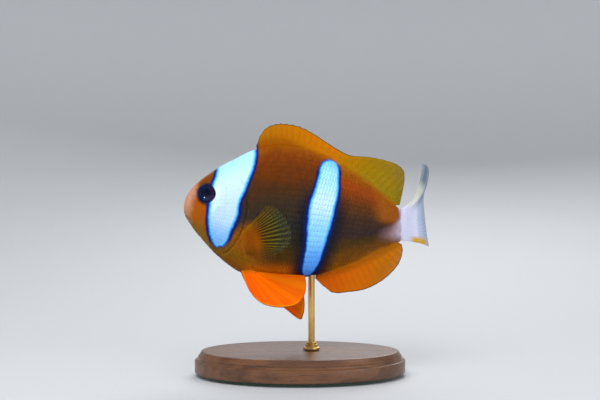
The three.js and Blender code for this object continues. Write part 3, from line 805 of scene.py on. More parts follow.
def section_lengths():
    """Distance round each section from its widest level, below 0 towards the belly."""
    x, turns = np.meshgrid(SECTION_X, SECTION_TURNS, indexing="ij")
    points = body_point(x, turns)
    steps = np.linalg.norm(np.diff(points[..., 1:], axis=1), axis=-1)
    lengths = np.concatenate([np.zeros((len(SECTION_X), 1)), np.cumsum(steps, axis=1)], axis=1)
    return lengths - lengths[:, len(SECTION_TURNS) // 2][:, None]


SECTION_LENGTHS = section_lengths()


def at_section(x, table):
    """A row of a table for each x, blended between the nearest two sections."""
    place = np.clip((x - SECTION_X[0]) / (SECTION_X[1] - SECTION_X[0]), 0, len(SECTION_X) - 1.001)
    i = place.astype(int)
    share = (place - i)[..., None]
    return table[i] * (1 - share) + table[i + 1] * share


def turn_for(x, height):
    """The turn round the section at a distance up or down it from the widest level."""
    rows = at_section(x, SECTION_LENGTHS)
    i = np.clip((rows < height[..., None]).sum(axis=-1) - 1, 0, len(SECTION_TURNS) - 2)
    low = np.take_along_axis(rows, i[..., None], -1)[..., 0]
    high = np.take_along_axis(rows, i[..., None] + 1, -1)[..., 0]
    share = np.clip((height - low) / np.maximum(high - low, 1e-6), 0, 1)
    return SECTION_TURNS[i] + share * (SECTION_TURNS[1] - SECTION_TURNS[0])


row_pitch = through([(-46, 0.95), (-38, 1.15), (-30, 1.5), (-19, 2.0), (0, 2.2), (18, 1.95), (30, 1.6),
                     (41, 1.2)])
column_pitch = through([(-46, 0.65), (-36, 0.78), (-28, 0.92), (-18, 1.12), (5, 1.2), (25, 1.08), (41, 0.85)])
print("Longest way round from the widest level to a ridge, mm:", round(float(SECTION_LENGTHS.max()), 1))

# %% [markdown]
# ## One scale
# A scale is a thin bony plate, rooted in a pocket of the skin and free at its rounded rear edge. A small
# grid with two faces is pressed into a disc. It is one pattern, drawn thousands of times into one mesh, so
# it has few faces. The scales of the lateral line carry a raised tube down the middle.

# %% The scale pattern
def scale_pattern():
    bm = bmesh.new()
    bmesh.ops.create_grid(bm, x_segments=4, y_segments=4, size=1)
    bmesh.ops.solidify(bm, geom=bm.faces[:], thickness=0.2)
    bmesh.ops.recalc_face_normals(bm, faces=bm.faces[:])
    co = np.array([vert.co for vert in bm.verts])
    faces = np.array([[vert.index for vert in face.verts] for face in bm.faces])
    bm.free()
    along = co[:, 0] * np.sqrt(1 - co[:, 1] ** 2 / 2)
    across = co[:, 1] * np.sqrt(1 - co[:, 0] ** 2 / 2)
    return (along + 1) / 2, across, co[:, 2] > co[:, 2].mean(), faces


SCALE_T, SCALE_B, SCALE_TOP, SCALE_FACES = scale_pattern()
SCALE_ROOT, SCALE_TIP, SCALE_DOME, SCALE_THICK = -0.2, 0.17, 0.05, 0.06
SCALE_LONG, SCALE_TALL = 2.15, 0.7  # full size in column pitches and half height in row pitches
TUBE_RISE = 0.12
COAT_ROOM = 0.02  # how far the highest scale stays below the solids' surface
rng = np.random.default_rng(11)
print("Faces of one scale:", len(SCALE_FACES))


# %% Height and notes of a scale
def scale_lift(tilt, tubed):
    """Height of each point of each scale over the skin."""
    round_off = 1 - np.minimum((2 * SCALE_T - 1) ** 2 + SCALE_B ** 2, 1)
    top = SCALE_ROOT + (SCALE_TIP - SCALE_ROOT) * SCALE_T[None] * tilt[:, None] + SCALE_DOME * round_off[None]
    tube = bump(SCALE_B, 0.3) * smooth(SCALE_T, 0.2, 0.5)
    top = top + TUBE_RISE * tube[None] * tubed[:, None]
    return np.minimum(top, COAT - COAT_ROOM) - np.where(SCALE_TOP, 0, SCALE_THICK)[None]


def scale_note(count):
    """A number for each scale, and how far along and across it each point is."""
    shape = (count, len(SCALE_T))
    shade = rng.uniform(0, 1, count)[:, None]
    return np.stack([np.broadcast_to(part, shape) for part in (shade, SCALE_T, SCALE_B)], axis=-1)


# %% One mesh of many scales
def join_scales(name, points, notes, flat, flips, paints, paint_of):
    """One mesh of all scales, from arrays shaped (scales, points). flat is its map, with a patch for each."""
    count, size = points.shape[:2]
    faces = SCALE_FACES[None] + (np.arange(count) * size)[:, None, None]
    faces = np.where(flips[:, None, None], faces[..., ::-1], faces).reshape(-1, 4)
    mesh = bpy.data.meshes.new(name)
    mesh.vertices.add(count * size)
    mesh.vertices.foreach_set("co", (points * MM).astype(np.float32).ravel())
    mesh.loops.add(faces.size)
    mesh.loops.foreach_set("vertex_index", faces.astype(np.int32).ravel())
    mesh.polygons.add(len(faces))
    mesh.polygons.foreach_set("loop_start", np.arange(0, faces.size, 4, dtype=np.int32))
    for paint in paints:
        mesh.materials.append(paint_named(paint))
    mesh.polygons.foreach_set("material_index", np.repeat(paint_of, len(SCALE_FACES)).astype(np.int32))
    smooth_faces(mesh)
    mesh.update()
    for key, values in notes.items():
        note(mesh, key, values.reshape(-1, 3))
    layer = mesh.uv_layers.new(name="OFBake")
    layer.data.foreach_set("uv", flat.reshape(-1, 2)[faces.ravel()].astype(np.float32).ravel())
    mesh.validate()
    print(name, "scales:", count, "triangles:", len(faces) * 2)
    return new_object(name, mesh)


# %% [markdown]
# ## Where the body's scales go
# The snout, the lips and the ring round the eye are bare. So is the soft edge of the gill cover, and
# nothing may cross it. Scales that would run into the root of a fin are left out.

# %% Bare places and the map
FACE_EDGE = smooth_line([(-30.5, 97), (-33.4, 84), (-33.8, 79.5), (-31.9, 76.4), (-31.6, 71.5), (-32.6, 67.6),
                         (-36, 65.6), (-38.2, 62.5), (-38.4, 58), (-37, 54), (-36.6, 48), (-37, 44)])
LATERAL_LINE = smooth_line([(-20.6, 80.2), (-15, 84.4), (-8, 86.0), (2, 84.4), (12, 79.8), (20, 75.0),
                            (25.5, 71.4)])
ROWS_EACH_WAY = 24  # rows of scales above and below the widest level, before they run out
EYE_RING = 4.8  # bare skin round the eye
PATCH = 0.003  # size of a scale's patch on the map
MAP_LONG, MAP_TALL, MAP_BELOW = 90, 68, 33  # millimetres of flank along the map, up it and below its middle


def fin_clearance(points):
    """Distance from each point to the nearest fin, in millimetres."""
    is_fin = source_notes["spread"][:, 2] > 0
    return look_up(points * MM, source_points[is_fin])[1] / MM


# %% Root places of the scales
def body_roots(side):
    """Root places of one side's scales: x and distance up the section."""
    counts = np.cumsum(1 / column_pitch(SECTION_X)) * (SECTION_X[1] - SECTION_X[0])
    found = []
    for row in range(-ROWS_EACH_WAY, ROWS_EACH_WAY + 1):
        steps = np.arange(0.5 * (row % 2), counts[-1], 1.0)
        x = np.interp(steps, counts, SECTION_X)
        found.append(np.stack([x, (row + 0.25) * row_pitch(x)], axis=-1))
    x, height = np.concatenate(found).T
    # No scales past the ridges of back and belly, across the gill slit, on the bare face or at the fins.
    limits = at_section(x, SECTION_LENGTHS)
    pitch = row_pitch(x)
    keep = (height < limits[:, -1] - 0.3 * pitch) & (height > limits[:, 0] + 0.3 * pitch)
    keep &= x < TAIL_ROOT_X - 0.6
    x, height = x[keep], height[keep]
    middle = x + column_pitch(x) * 0.5
    turn = turn_for(middle, height)
    points, straight = surface(middle, turn if side == RIGHT else math.pi - turn)
    sx, sz = straight[:, 0], straight[:, 2]
    tip = -distance(GILL_EDGE, sx + column_pitch(x) * 0.75, sz)
    root = -distance(GILL_EDGE, sx - column_pitch(x) * 0.7, sz)
    crosses = (root < 0.1) & (tip > -0.15) & (sz > 47.5) & (sz < 81)
    keep = (distance(FACE_EDGE, sx, sz) > 0.35) & ~crosses
    keep &= eye_distance(sx, sz) > EYE_RING
    keep &= fin_clearance(points) > 0.3 * row_pitch(x)
    return x[keep], height[keep]


# %% Make the body's coat
def body_coat(name, side):
    x, height = body_roots(side)
    count = len(x)
    # Each scale differs a little from its neighbours in length, height, place and tilt.
    long = column_pitch(x) * SCALE_LONG * rng.uniform(0.96, 1.04, count)
    tall = row_pitch(x) * SCALE_TALL * rng.uniform(0.97, 1.03, count)
    px = x[:, None] + (SCALE_T[None] - 0.5) * long[:, None] + rng.normal(0, 0.03, count)[:, None]
    px = np.clip(px, SNOUT_X + 0.6, TAIL_ROOT_X)
    ph = height[:, None] * row_pitch(px) / row_pitch(x)[:, None] + SCALE_B[None] * tall[:, None]
    turn = turn_for(px, ph)
    straight = body_point(px, turn)
    on_line = np.abs(distance(LATERAL_LINE, straight[:, 0, 0], straight[:, 0, 2])) < row_pitch(x) * 0.5
    lift = scale_lift(rng.uniform(0.93, 1.05, count), on_line.astype(float))
    points, straight = surface(px, turn if side == RIGHT else math.pi - turn, lift)
    notes = {**marks_at(straight), "scale": scale_note(count)}
    flat = np.stack([(x[:, None] - SNOUT_X) / MAP_LONG + PATCH * (SCALE_T - 0.5)[None],
                     (height[:, None] + MAP_BELOW) / MAP_TALL + PATCH * SCALE_B[None] / 2], axis=-1)
    flips = np.full(count, side == RIGHT)
    return join_scales(name, points, notes, flat, flips, ["scales_body"], np.zeros(count))


coats = [body_coat("scales_" + name, side) for side, name in SIDES]

# %% [markdown]
# ## Scales on the fins
# Small scales run on over the roots of the fins: a low sheath along the back and belly fins, the fleshy
# base of the tail, and the lobes of the pectorals. They lie on the fins' two faces, point towards the
# fin's edge, and get smaller as they go.

# %% Rows of scales on a fin
FIN_SCALE_MIDDLE, FIN_SCALE_TILT, FIN_SCALE_LIFT = 0.4, 0.85, 0.6
FIN_SCALE_STEP = 1.45  # from scale to scale in a row, in half heights
FIN_COAT_END = 0.98  # no scale reaches past this share of the fin


def fin_roots(start, reach, columns, rows, fade):
    """Staggered places on a fin's base, as u, distance from the root and size, which shrinks row by row."""
    found = []
    for row in range(rows):
        u = (np.arange(columns) + 0.5 * (row % 2) + 0.25) / columns
        away = start + (reach(u) - start) * (row + 0.35) / rows
        found.append(np.stack([u, away, 0 * u + 1 - fade * row / rows], axis=-1))
    return np.concatenate(found)


def fin_coat(sheet, face, roots, long, tall, spans):
    """Points and notes of the scales on one face of a fin."""
    u, away, size = roots.T
    shrink = size[:, None] * rng.uniform(0.94, 1.06, (len(u), 1))
    across = u[:, None] + SCALE_B[None] * tall * shrink / spans
    along = away[:, None] + (SCALE_T[None] - FIN_SCALE_MIDDLE) * long * shrink
    lift = scale_lift(0 * u + FIN_SCALE_TILT, 0 * u) * FIN_SCALE_LIFT
    across = np.clip(across, 0, 1)
    reach = sheet(across, 0 * across + 0.5, 1)[1]["spread"][..., 2]
    return sheet(across, np.minimum(along / reach, FIN_COAT_END), face, lift)


# %% Which fins have scales
def sheath(u):
    """Height of the scales on the dorsal fin: taller on its soft part, and gone at its end."""
    return 2.6 + 2.6 * smooth(u, 0.5, 0.8) - 2.2 * smooth(u, 0.93, 1)


FIN_PAINTS = ["scales_median", "scales_caudal", "scales_pectoral"]
MAP_MARGIN, MAP_WIDTH, MAP_STRIPS = 0.02, 0.95, 10  # each face of a fin has one strip of the map
# Sheet, paint, width in mm, where the scaly base starts and ends, rows, fade, scale length and half height.
FIN_COATS = [
    (dorsal_sheet, 0, 56, 0.0, sheath, 5, 0.4, 1.5, 0.62),
    (anal_sheet, 0, 34, 0.0, lambda u: 2.8 - 1.2 * smooth(u, 0.9, 1), 3, 0.4, 1.4, 0.62),
    (caudal_sheet, 1, 12, -0.9, lambda u: 7.5 + 0 * u, 11, 0.45, 1.3, 0.5),
    *[(pectoral_sheets[side], 2, 11, 0.0, lambda u: 3.4 + 0 * u, 4, 0.3, 1.4, 0.6) for side in (LEFT, RIGHT)],
]


# %% Make the fins' scales
def turned_in(points):
    """True for the scales whose pattern comes out with its upper side towards the fin."""
    quad = points[:, SCALE_FACES[0]]
    normal = np.cross(quad[:, 1] - quad[:, 0], quad[:, 2] - quad[:, 1])
    centre = points.mean(axis=1)
    return np.sum(normal * (quad.mean(axis=1) - centre), axis=-1) < 0


def coat_of_fins(name):
    gathered, flats, flips, paint_of = [], [], [], []
    for sheet, paint, width, start, end, rows, fade, long, tall in FIN_COATS:
        for face in (1, -1):
            roots = fin_roots(start, end, int(width / (FIN_SCALE_STEP * tall)), rows, fade)
            points, notes = fin_coat(sheet, face, roots, long, tall, width)
            notes["scale"] = scale_note(len(roots))
            across = MAP_MARGIN + MAP_WIDTH * roots[:, :1]
            along = MAP_MARGIN + len(gathered) / MAP_STRIPS + roots[:, 1:2] / MAP_LONG
            flats.append(np.stack([across + PATCH * SCALE_B[None] / 2, along + PATCH * (SCALE_T - 0.5)[None]],
                                  axis=-1))
            flips.append(turned_in(points))
            paint_of.append(np.full(len(roots), paint))
            gathered.append((points, notes))
    points = np.concatenate([entry[0] for entry in gathered])
    notes = {key: np.concatenate([entry[1][key] for entry in gathered]) for key in gathered[0][1]}
    return join_scales(name, points, notes, np.concatenate(flats), np.concatenate(flips), FIN_PAINTS,
                       np.concatenate(paint_of))


coats.append(coat_of_fins("scales_fins"))
for coat in coats:
    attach(coat, "root")

# %% [markdown]
# ## Paint
# All colour comes from small node trees. A wire is one output of a node, and sums and products of wires
# add the nodes that work them out. The other helpers name the mixes that come up most. Colours are given
# as they look on a screen, from 0 to 255, and turned into linear light.

# %% Wires
def tint(red, green, blue):
    """A screen colour as linear light."""
    def linear(c):
        c = c / 255
        return c / 12.92 if c <= 0.04045 else ((c + 0.055) / 1.055) ** 2.4
    return (linear(red), linear(green), linear(blue), 1.0)


class Wire:
    """A node's output, which adds and multiplies as a number does."""

    def __init__(self, socket):
        self.socket = socket

    def __add__(self, other):
        return maths("ADD", self, other)

    def __radd__(self, other):
        return maths("ADD", other, self)

    def __sub__(self, other):
        return maths("SUBTRACT", self, other)

    def __rsub__(self, other):
        return maths("SUBTRACT", other, self)

    def __mul__(self, other):
        return maths("MULTIPLY", self, other)

    def __truediv__(self, other):
        return maths("DIVIDE", self, other)


# %% Nodes and what is plugged into them
def plug(socket, value):
    """Joins a wire to an input, or sets the input. None leaves it alone."""
    if isinstance(value, Wire):
        socket.id_data.links.new(value.socket, socket)
    elif value is not None:
        socket.default_value = value


def add(kind, *inputs, **settings):
    """A node in the tree that its wires come from, with its inputs plugged in order. Gives its outputs."""
    tree = next(value.socket.id_data for value in inputs if isinstance(value, Wire))
    made = tree.nodes.new("ShaderNode" + kind)
    for name, value in settings.items():
        setattr(made, name, value)
    for socket, value in zip([socket for socket in made.inputs if socket.enabled], inputs):
        plug(socket, value)
    return [Wire(socket) for socket in made.outputs if socket.enabled]


def maths(operation, *values):
    return add("Math", *values, operation=operation)[0]


# %% Paint helpers
def soft_step(value, low, high):
    return add("MapRange", value, low, high, 0.0, 1.0, interpolation_type="SMOOTHSTEP")[0]


def mix_colour(factor, a, b, blend="MIX"):
    """One colour turned into another by a factor. Each is a wire or a screen colour."""
    a, b = [tint(*colour) if isinstance(colour, tuple) else colour for colour in (a, b)]
    return add("Mix", factor, a, b, data_type="RGBA", blend_type=blend)[0]


def mix_value(factor, a, b):
    return add("Mix", factor, a, b, data_type="FLOAT")[0]


def split(vector):
    return add("SeparateXYZ", vector)


def noise(vector, scale, detail=2.0, roughness=0.5):
    return add("TexNoise", vector, scale, detail, roughness)[0]


def toned(colour, tone):
    """A colour made darker or lighter by a number."""
    grey = add("CombineXYZ", tone, tone, tone)[0]
    return mix_colour(1.0, colour, grey, "MULTIPLY")


# %% Ramps, notes and groups
def ramp(value, stops):
    """A colour ramp from (place, screen colour) stops."""
    made = value.socket.id_data.nodes.new("ShaderNodeValToRGB")
    plug(made.inputs[0], value)
    scale = made.color_ramp
    scale.interpolation = "EASE"
    while len(scale.elements) < len(stops):
        scale.elements.new(0.5)
    for element, (place, _) in zip(scale.elements, stops):
        element.position = place
    for element, (_, colour) in zip(scale.elements, stops):
        element.color = tint(*colour)
    return Wire(made.outputs[0])


def attribute(tree, name):
    made = tree.nodes.new("ShaderNodeAttribute")
    made.attribute_name = name
    return Wire(made.outputs["Vector"])


def new_group(name, inputs, outputs):
    """A node group with named sockets, the wires that come into it, and the sockets that go out."""
    group = bpy.data.node_groups.new(name, "ShaderNodeTree")
    for sockets, way in [(inputs, "INPUT"), (outputs, "OUTPUT")]:
        for label, kind in sockets:
            group.interface.new_socket(label, in_out=way, socket_type="NodeSocket" + kind)
    given = group.nodes.new("NodeGroupInput").outputs
    wires = [Wire(given[label]) for label, _ in inputs]
    return group, wires, group.nodes.new("NodeGroupOutput").inputs


# %% [markdown]
# ## Markings
# One group paints the fish's pattern from three notes: the straight point, in millimetres, the distances
# inside the bars with the level from belly to back, and the distances on the face with the depth of its
# creases, which it paints as shade. Skin and scales both use it, so the pattern runs across them unbroken.
# The face is orange with a pale snout, the flanks go from orange at the back through dark brown to orange
# at the belly, and the tail's root turns white.
# Places are in millimetres along the straight fish (x) and up it (z), and each soft_step is 0 at the
# first of its two values and 1 at the second.

# %% Flank
def flank_colour(rest, x, z, level, uneven):
    """Dark brown between an orange back and belly, warmer on the breast and behind the second bar."""
    trunk = ramp(uneven, [
        (0.0, (150, 66, 1)), (0.08, (112, 60, 1)), (0.18, (80, 52, 3)), (0.28, (50, 44, 20)),
        (0.4, (44, 42, 38)), (0.52, (54, 42, 30)), (0.66, (70, 40, 16)), (0.8, (98, 45, 2)),
        (0.9, (118, 52, 0)), (1.0, (140, 72, 0))])
    rear = ramp(uneven, [
        (0.0, (152, 88, 1)), (0.11, (110, 64, 1)), (0.23, (70, 47, 12)), (0.34, (50, 36, 32)),
        (0.46, (60, 38, 26)), (0.6, (86, 46, 10)), (0.72, (120, 52, 0)), (0.84, (146, 60, 0)),
        (0.93, (142, 72, 0)), (1.0, (140, 84, 0))])
    breast = ramp(uneven, [
        (0.0, (140, 78, 0)), (0.15, (134, 88, 1)), (0.3, (142, 82, 0)), (0.45, (104, 62, 6)),
        (1.0, (70, 44, 16))])
    colour = mix_colour(soft_step(x, -9.0, -20.0) * soft_step(level, 0.48, 0.34), trunk, breast)
    colour = mix_colour(soft_step(x, 6.0, 14.0), colour, rear)

    # Orange skin round the pectoral fin's root and over the tail's root, and a brighter orange along the
    # belly by the pelvic fins, which is painted light that lifts the shade where the belly faces down.
    shoulder = add("VectorMath", rest, (-17.0, 0.0, 53.5), operation="SUBTRACT")[0]
    shoulder = add("VectorMath", shoulder, (1.0, 0.0, 0.8), operation="MULTIPLY")[0]
    shoulder = add("VectorMath", shoulder, operation="LENGTH")[0]
    colour = mix_colour(soft_step(shoulder, 8.5, 2.5) * 0.9, colour, (140, 74, 0))
    # Painted light: a brighter orange where the belly faces down above the pelvic fins, against its shade.
    painted_belly_light = soft_step(z, 46.0, 41.0) * soft_step(x, -25.0, -19.0) * soft_step(x, 2.0, -6.0) * 0.75
    colour = mix_colour(painted_belly_light, colour, (206, 98, 0))
    ember = soft_step(x, 27.0, 33.0) * soft_step(level, 0.42, 0.6)
    return mix_colour(ember, colour, (150, 78, 1))


# %% Face and tail root
def face_over(colour, x, z, uneven, from_front):
    """The orange face, with a pale band along its front that is widest above the lips."""
    face = ramp(uneven, [
        (0.0, (126, 90, 8)), (0.15, (126, 86, 4)), (0.35, (152, 78, 1)), (0.55, (156, 76, 0)),
        (0.75, (128, 68, 0)), (0.9, (112, 58, 0)), (1.0, (116, 64, 4))])
    colour = mix_colour(soft_step(x, -29.0, -33.0), colour, face)
    band = mix_value(soft_step(z, 61.0, 68.0), 2.0, 4.7)
    band = mix_value(soft_step(z, 72.0, 77.5), band, 1.1)
    pale = soft_step(from_front / band, 1.2, 0.3) * soft_step(x, -31.5, -35.0)
    lip = mix_colour(soft_step(z, 62.5, 69.0), (146, 104, 64), (190, 136, 106))
    lip = mix_colour(soft_step(z, 74.0, 79.0), lip, (164, 104, 60))
    return mix_colour(pale, colour, lip)


def tail_root_over(colour, x, z, drift):
    """White from the tail's root on, reached through pink, with an edge that leans and wavers."""
    edge_x = 33.0 + soft_step(z, 56.0, 64.0) * 6.2
    share = (x + drift * 10.0 - edge_x) / mix_value(soft_step(z, 57.0, 62.0), 5.0, 1.2)
    within = soft_step(z, 52.4, 56.4) * soft_step(z, 67.2, 65.9)
    white = mix_colour(soft_step(share, -0.1, 2.4), (152, 112, 116), (212, 210, 232))
    return mix_colour(soft_step(share, -1.0, 1.0) * within, colour, white)


# %% The bars' line and colour
def line_over(colour, x, z, level, inner):
    """A black cloud round the second bar, and a dark blue line round both, fainter at two ends."""
    halo = soft_step(inner, -7.0, -0.8) * soft_step(x, -16.0, -8.0) * soft_step(level, 0.8, 0.45)
    colour = mix_colour(halo * 0.95, colour, (14, 18, 30))
    width = mix_value(soft_step(z, 64.0, 76.0), -1.15, -0.75)
    width = mix_value(soft_step(x, -32.0, -26.0), -0.9, width)
    line = soft_step(inner, width * 1.5, width * 0.35)
    top_of_second = soft_step(z, 80.5, 85.5) * soft_step(x, -10.0, 0.0)
    foot_of_first = soft_step(z, 55.0, 51.5) * soft_step(x, -24.0, -28.0)
    strength = mix_value(maths("MAXIMUM", top_of_second, foot_of_first), 0.97, 0.3)
    return mix_colour(line * strength, colour, (5, 24, 88))


def bar_colour(x, z, level, inner):
    """Pale blue-white, bluer towards the belly, with a rim that runs from dark blue to cyan."""
    first = ramp(level, [
        (0.0, (122, 172, 240)), (0.2, (130, 190, 250)), (0.5, (194, 222, 250)), (0.75, (202, 228, 250)),
        (1.0, (166, 222, 248))])
    second = ramp(level, [
        (0.0, (78, 124, 228)), (0.12, (88, 164, 252)), (0.35, (142, 210, 255)), (0.6, (194, 230, 254)),
        (0.85, (156, 220, 250)), (1.0, (112, 196, 244))])
    pale = mix_colour(soft_step(x, -12.0, -6.0), first, second)
    rim = ramp(inner * 0.5, [
        (0.0, (14, 50, 136)), (0.17, (38, 98, 196)), (0.33, (74, 156, 242)), (0.5, (96, 200, 252)),
        (0.75, (110, 212, 255))])
    reach = mix_value(soft_step(z, 45.0, 55.0), 1.1, 1.9)
    return mix_colour(soft_step(inner, reach, reach * 0.42), pale, rim)


# %% The markings group
def build_markings():
    tree, (rest, bars, face), out = new_group(
        "markings", [("Rest", "Vector"), ("Bars", "Vector"), ("Face", "Vector")],
        [("Color", "Color"), ("Bar", "Float")])
    x, _, z = split(rest)
    head_in, mid_in, level = split(bars)
    from_front, from_eye, crease = split(face)
    drift = (noise(rest, 0.12, 3.0, 0.55) - 0.5) * 0.16
    uneven = level + drift
    colour = flank_colour(rest, x, z, level, uneven)
    colour = face_over(colour, x, z, uneven, from_front)
    colour = tail_root_over(colour, x, z, drift)
    colour = toned(colour, 0.84 + noise(rest, 0.9, 2.0, 0.6) * 0.32)  # fine mottling of the pigment
    colour = mix_colour(soft_step(from_eye, 5.0, 3.8) * 0.85, colour, (34, 22, 24))  # dark skin round the eye

    waver = (noise(rest, 0.5, 2.0) - 0.5) * 0.7
    inner = maths("MAXIMUM", head_in, mid_in) + (waver + 0.33)
    bar = soft_step(inner, -0.1, 0.25)
    colour = line_over(colour, x, z, level, inner)
    colour = mix_colour(bar, colour, bar_colour(x, z, level, inner))
    # Painted shade in the mouth's cleft, the nostril, the gill slit and the cheek's crease, fainter on the
    # bars.
    colour = mix_colour(crease * mix_value(bar, 0.52, 0.12), colour, (46, 26, 18))
    plug(out["Color"], colour)
    plug(out["Bar"], bar)
    return tree


markings = build_markings()
print("Nodes in the markings:", len(markings.nodes))


def marked(tree):
    """The markings' colour and the bars' mask, read from the notes of the mesh that is being painted."""
    return add("Group", *[attribute(tree, name) for name in ("rest", "bars", "face")], node_tree=markings)


# %% [markdown]
# ## Skin paint
# Wet skin is glossy over a soft, slightly translucent body. The gloss is the shader's own coat, and the
# softness is a little light let under the surface. A fine bump breaks up the highlights as slime and pores
# do.

# %% Wet skin
FLESH_RADIUS, FLESH_DEPTH = (1.0, 0.45, 0.25), 0.0012
RING_TURNS = 60.0  # radians of growth rings over the length of a scale


def principled(material, settings):
    """A material's tree and its own shader, with the sockets that are the same all over set."""
    material.use_nodes = True
    shader = material.node_tree.nodes["Principled BSDF"]
    for name, value in settings.items():
        shader.inputs[name].default_value = value
    return material.node_tree, shader


def wet(material, coat=0.05, soft=0.08, gloss=0.15):
    return principled(material, {
        "Roughness": 0.4, "Coat Weight": coat, "Coat Roughness": 0.12, "IOR": 1.38,
        "Specular IOR Level": gloss, "Subsurface Weight": soft, "Subsurface Radius": FLESH_RADIUS,
        "Subsurface Scale": FLESH_DEPTH})


def finish_paint(shader, colour, height, strength, distance_mm):
    plug(shader.inputs["Base Color"], colour)
    plug(shader.inputs["Normal"], add("Bump", strength, distance_mm * MM, None, height)[0])


# %% Paint on the body and its scales
def pores_of(tree):
    return noise(attribute(tree, "rest"), 3.2, 3.0, 0.6)


def paint_body(material):
    tree, shader = wet(material)
    pores = pores_of(tree)
    plug(shader.inputs["Roughness"], 0.34 + pores * 0.2)
    finish_paint(shader, marked(tree)[0], pores, 0.35, 0.12)


def paint_scales(material, colour_of, gloss=0.15):
    """A coat's paint, with fine growth rings and a pale worn edge on each scale. colour_of gives the colour
    and how far a scale may be shaded."""
    tree, shader = wet(material, gloss=gloss)
    shade, t, b = split(attribute(tree, "scale"))
    from_focus = add("CombineXYZ", t - 0.25, b * 0.5, 0.0)[0]
    away = add("VectorMath", from_focus, operation="LENGTH")[0]
    rings = maths("SINE", away * RING_TURNS)
    edge = soft_step(away, 0.58, 0.74)
    colour, contrast = colour_of(tree)
    tone = -0.14 + shade * 0.16 + edge * 0.18
    pores = pores_of(tree)
    plug(shader.inputs["Roughness"], 0.36 + pores * 0.2)
    finish_paint(shader, toned(colour, 1.0 + tone * contrast), pores + rings * 0.4, 0.35, 0.08)


def body_colour(tree):
    colour, bar = marked(tree)
    return colour, mix_value(bar, 1.0, 0.12)


paint_body(paint_named("paint_body"))
paint_scales(paint_named("scales_body"), body_colour)

# %% [markdown]
# ## Fin paint
# A fin's colour starts as the body's at the root and turns into its own along the rays. The scales on its
# base take the same colour, so each fin's colour is one function that both use. Rays are solid and a shade
# away from the web, and the web lets some of what is behind show through, most in the pectoral fins. The
# edge of most fins is a fine dark line.

# %% Colours of the back and belly fins
FIN_GLOSS = 0.06


def grown(tree, amount, own):
    """A fin's own colour, grown over the body's."""
    return mix_colour(amount, marked(tree)[0], own)


def fin_notes(tree):
    ray, v, edge = split(attribute(tree, "fin"))
    u, from_root, _ = split(attribute(tree, "spread"))
    return ray, v, edge, u, from_root


def median_colour(tree):
    """Orange, and olive at the rear of the back. The body's colour runs up furthest at the dorsal's front."""
    rest = attribute(tree, "rest")
    x, _, z = split(rest)
    from_root = fin_notes(tree)[4]
    along = soft_step(x, -18.0, 43.0)
    back = ramp(along, [
        (0.0, (160, 98, 2)), (0.12, (170, 102, 0)), (0.5, (184, 106, 0)), (0.68, (162, 110, 0)),
        (0.84, (144, 112, 1)), (0.97, (138, 114, 6)), (1.0, (128, 110, 18))])
    belly = ramp(along, [
        (0.0, (180, 74, 0)), (0.5, (186, 84, 0)), (0.8, (186, 94, 0)), (0.93, (176, 100, 0)),
        (1.0, (182, 106, 2))])
    on_back = soft_step(z, 58.0, 62.0)
    cloud = noise(rest, 0.3, 2.0) * 2.0
    spread = mix_value(on_back * soft_step(x, 4.0, -8.0), 2.7, 7.0)
    amount = soft_step((from_root + cloud) / spread, 0.1, 1.0)
    return grown(tree, amount, mix_colour(on_back, belly, back)), 0.5


# %% Colours of the other fins
def caudal_colour(tree):
    """White with a blue-grey edge, blue-grey painted shade on the upper lobe, which turns nearly edge-on, and
    a yellow streak along the lowest rays.
    """
    _, v, _, u, from_root = fin_notes(tree)
    own = ramp(v, [
        (0.0, (214, 214, 238)), (0.38, (218, 218, 240)), (0.52, (178, 194, 222)), (0.8, (160, 176, 204)),
        (1.0, (138, 154, 178))])
    # Painted shade: the upper lobe turns nearly edge-on and is painted a darker blue-grey.
    lobe = soft_step(u, 0.7, 0.92) * soft_step(v, 0.15, 0.55)
    own = mix_colour(lobe, own, (108, 126, 144))
    cream = soft_step(u, 0.9, 0.98) * soft_step(v, 0.05, 0.2) * soft_step(v, 0.75, 0.5) * 0.7
    own = mix_colour(cream, own, (226, 226, 202))
    streak = soft_step(u, 0.2, 0.07) * soft_step(from_root, 3.0, 7.5) * soft_step(v, 0.92, 0.66)
    own = mix_colour(streak, own, (208, 158, 2))
    return grown(tree, soft_step(from_root, -2.0, 1.0), own), 0.3


def pectoral_colour(tree):
    """Orange at the root, olive and then grey-green along the rays, with an amber leading edge."""
    _, _, _, u, from_root = fin_notes(tree)
    own = ramp(soft_step(from_root, 0.0, 22.0), [
        (0.0, (132, 66, 0)), (0.16, (146, 74, 0)), (0.38, (116, 86, 1)), (0.6, (104, 96, 16)),
        (1.0, (82, 92, 56))])
    colour = grown(tree, soft_step(from_root, -1.0, 2.0), own)
    colour = mix_colour(soft_step(u, 0.8, 0.98) * 0.8, colour, (134, 92, 2))
    low = soft_step(u, 0.42, 0.06) * soft_step(from_root, 20.0, 9.0) * 0.85
    return mix_colour(low, colour, (104, 60, 1)), 0.4


def pelvic_colour(tree):
    _, _, _, u, from_root = fin_notes(tree)
    own = ramp(u, [(0.0, (228, 72, 0)), (0.3, (238, 88, 0)), (0.7, (230, 98, 0)), (1.0, (212, 102, 0))])
    return grown(tree, soft_step(from_root, -0.5, 2.5), own)


# %% Paint on the back, belly and tail fins
def fin_bump(tree, ray, from_root, creases=1.0):
    """Cross joints on the rays and fine creases in the web."""
    joints = add("TexWave", add("CombineXYZ", from_root, 0.0, 0.0)[0], 0.9, 0.6, 1.0, 1.0,
                 wave_type="BANDS", bands_direction="X")[1]
    return joints * ray * 0.4 + noise(attribute(tree, "rest"), 2.6, 3.0, 0.6) * creases


def see_through(shader, amount):
    plug(shader.inputs["Alpha"], 1.0 - amount)


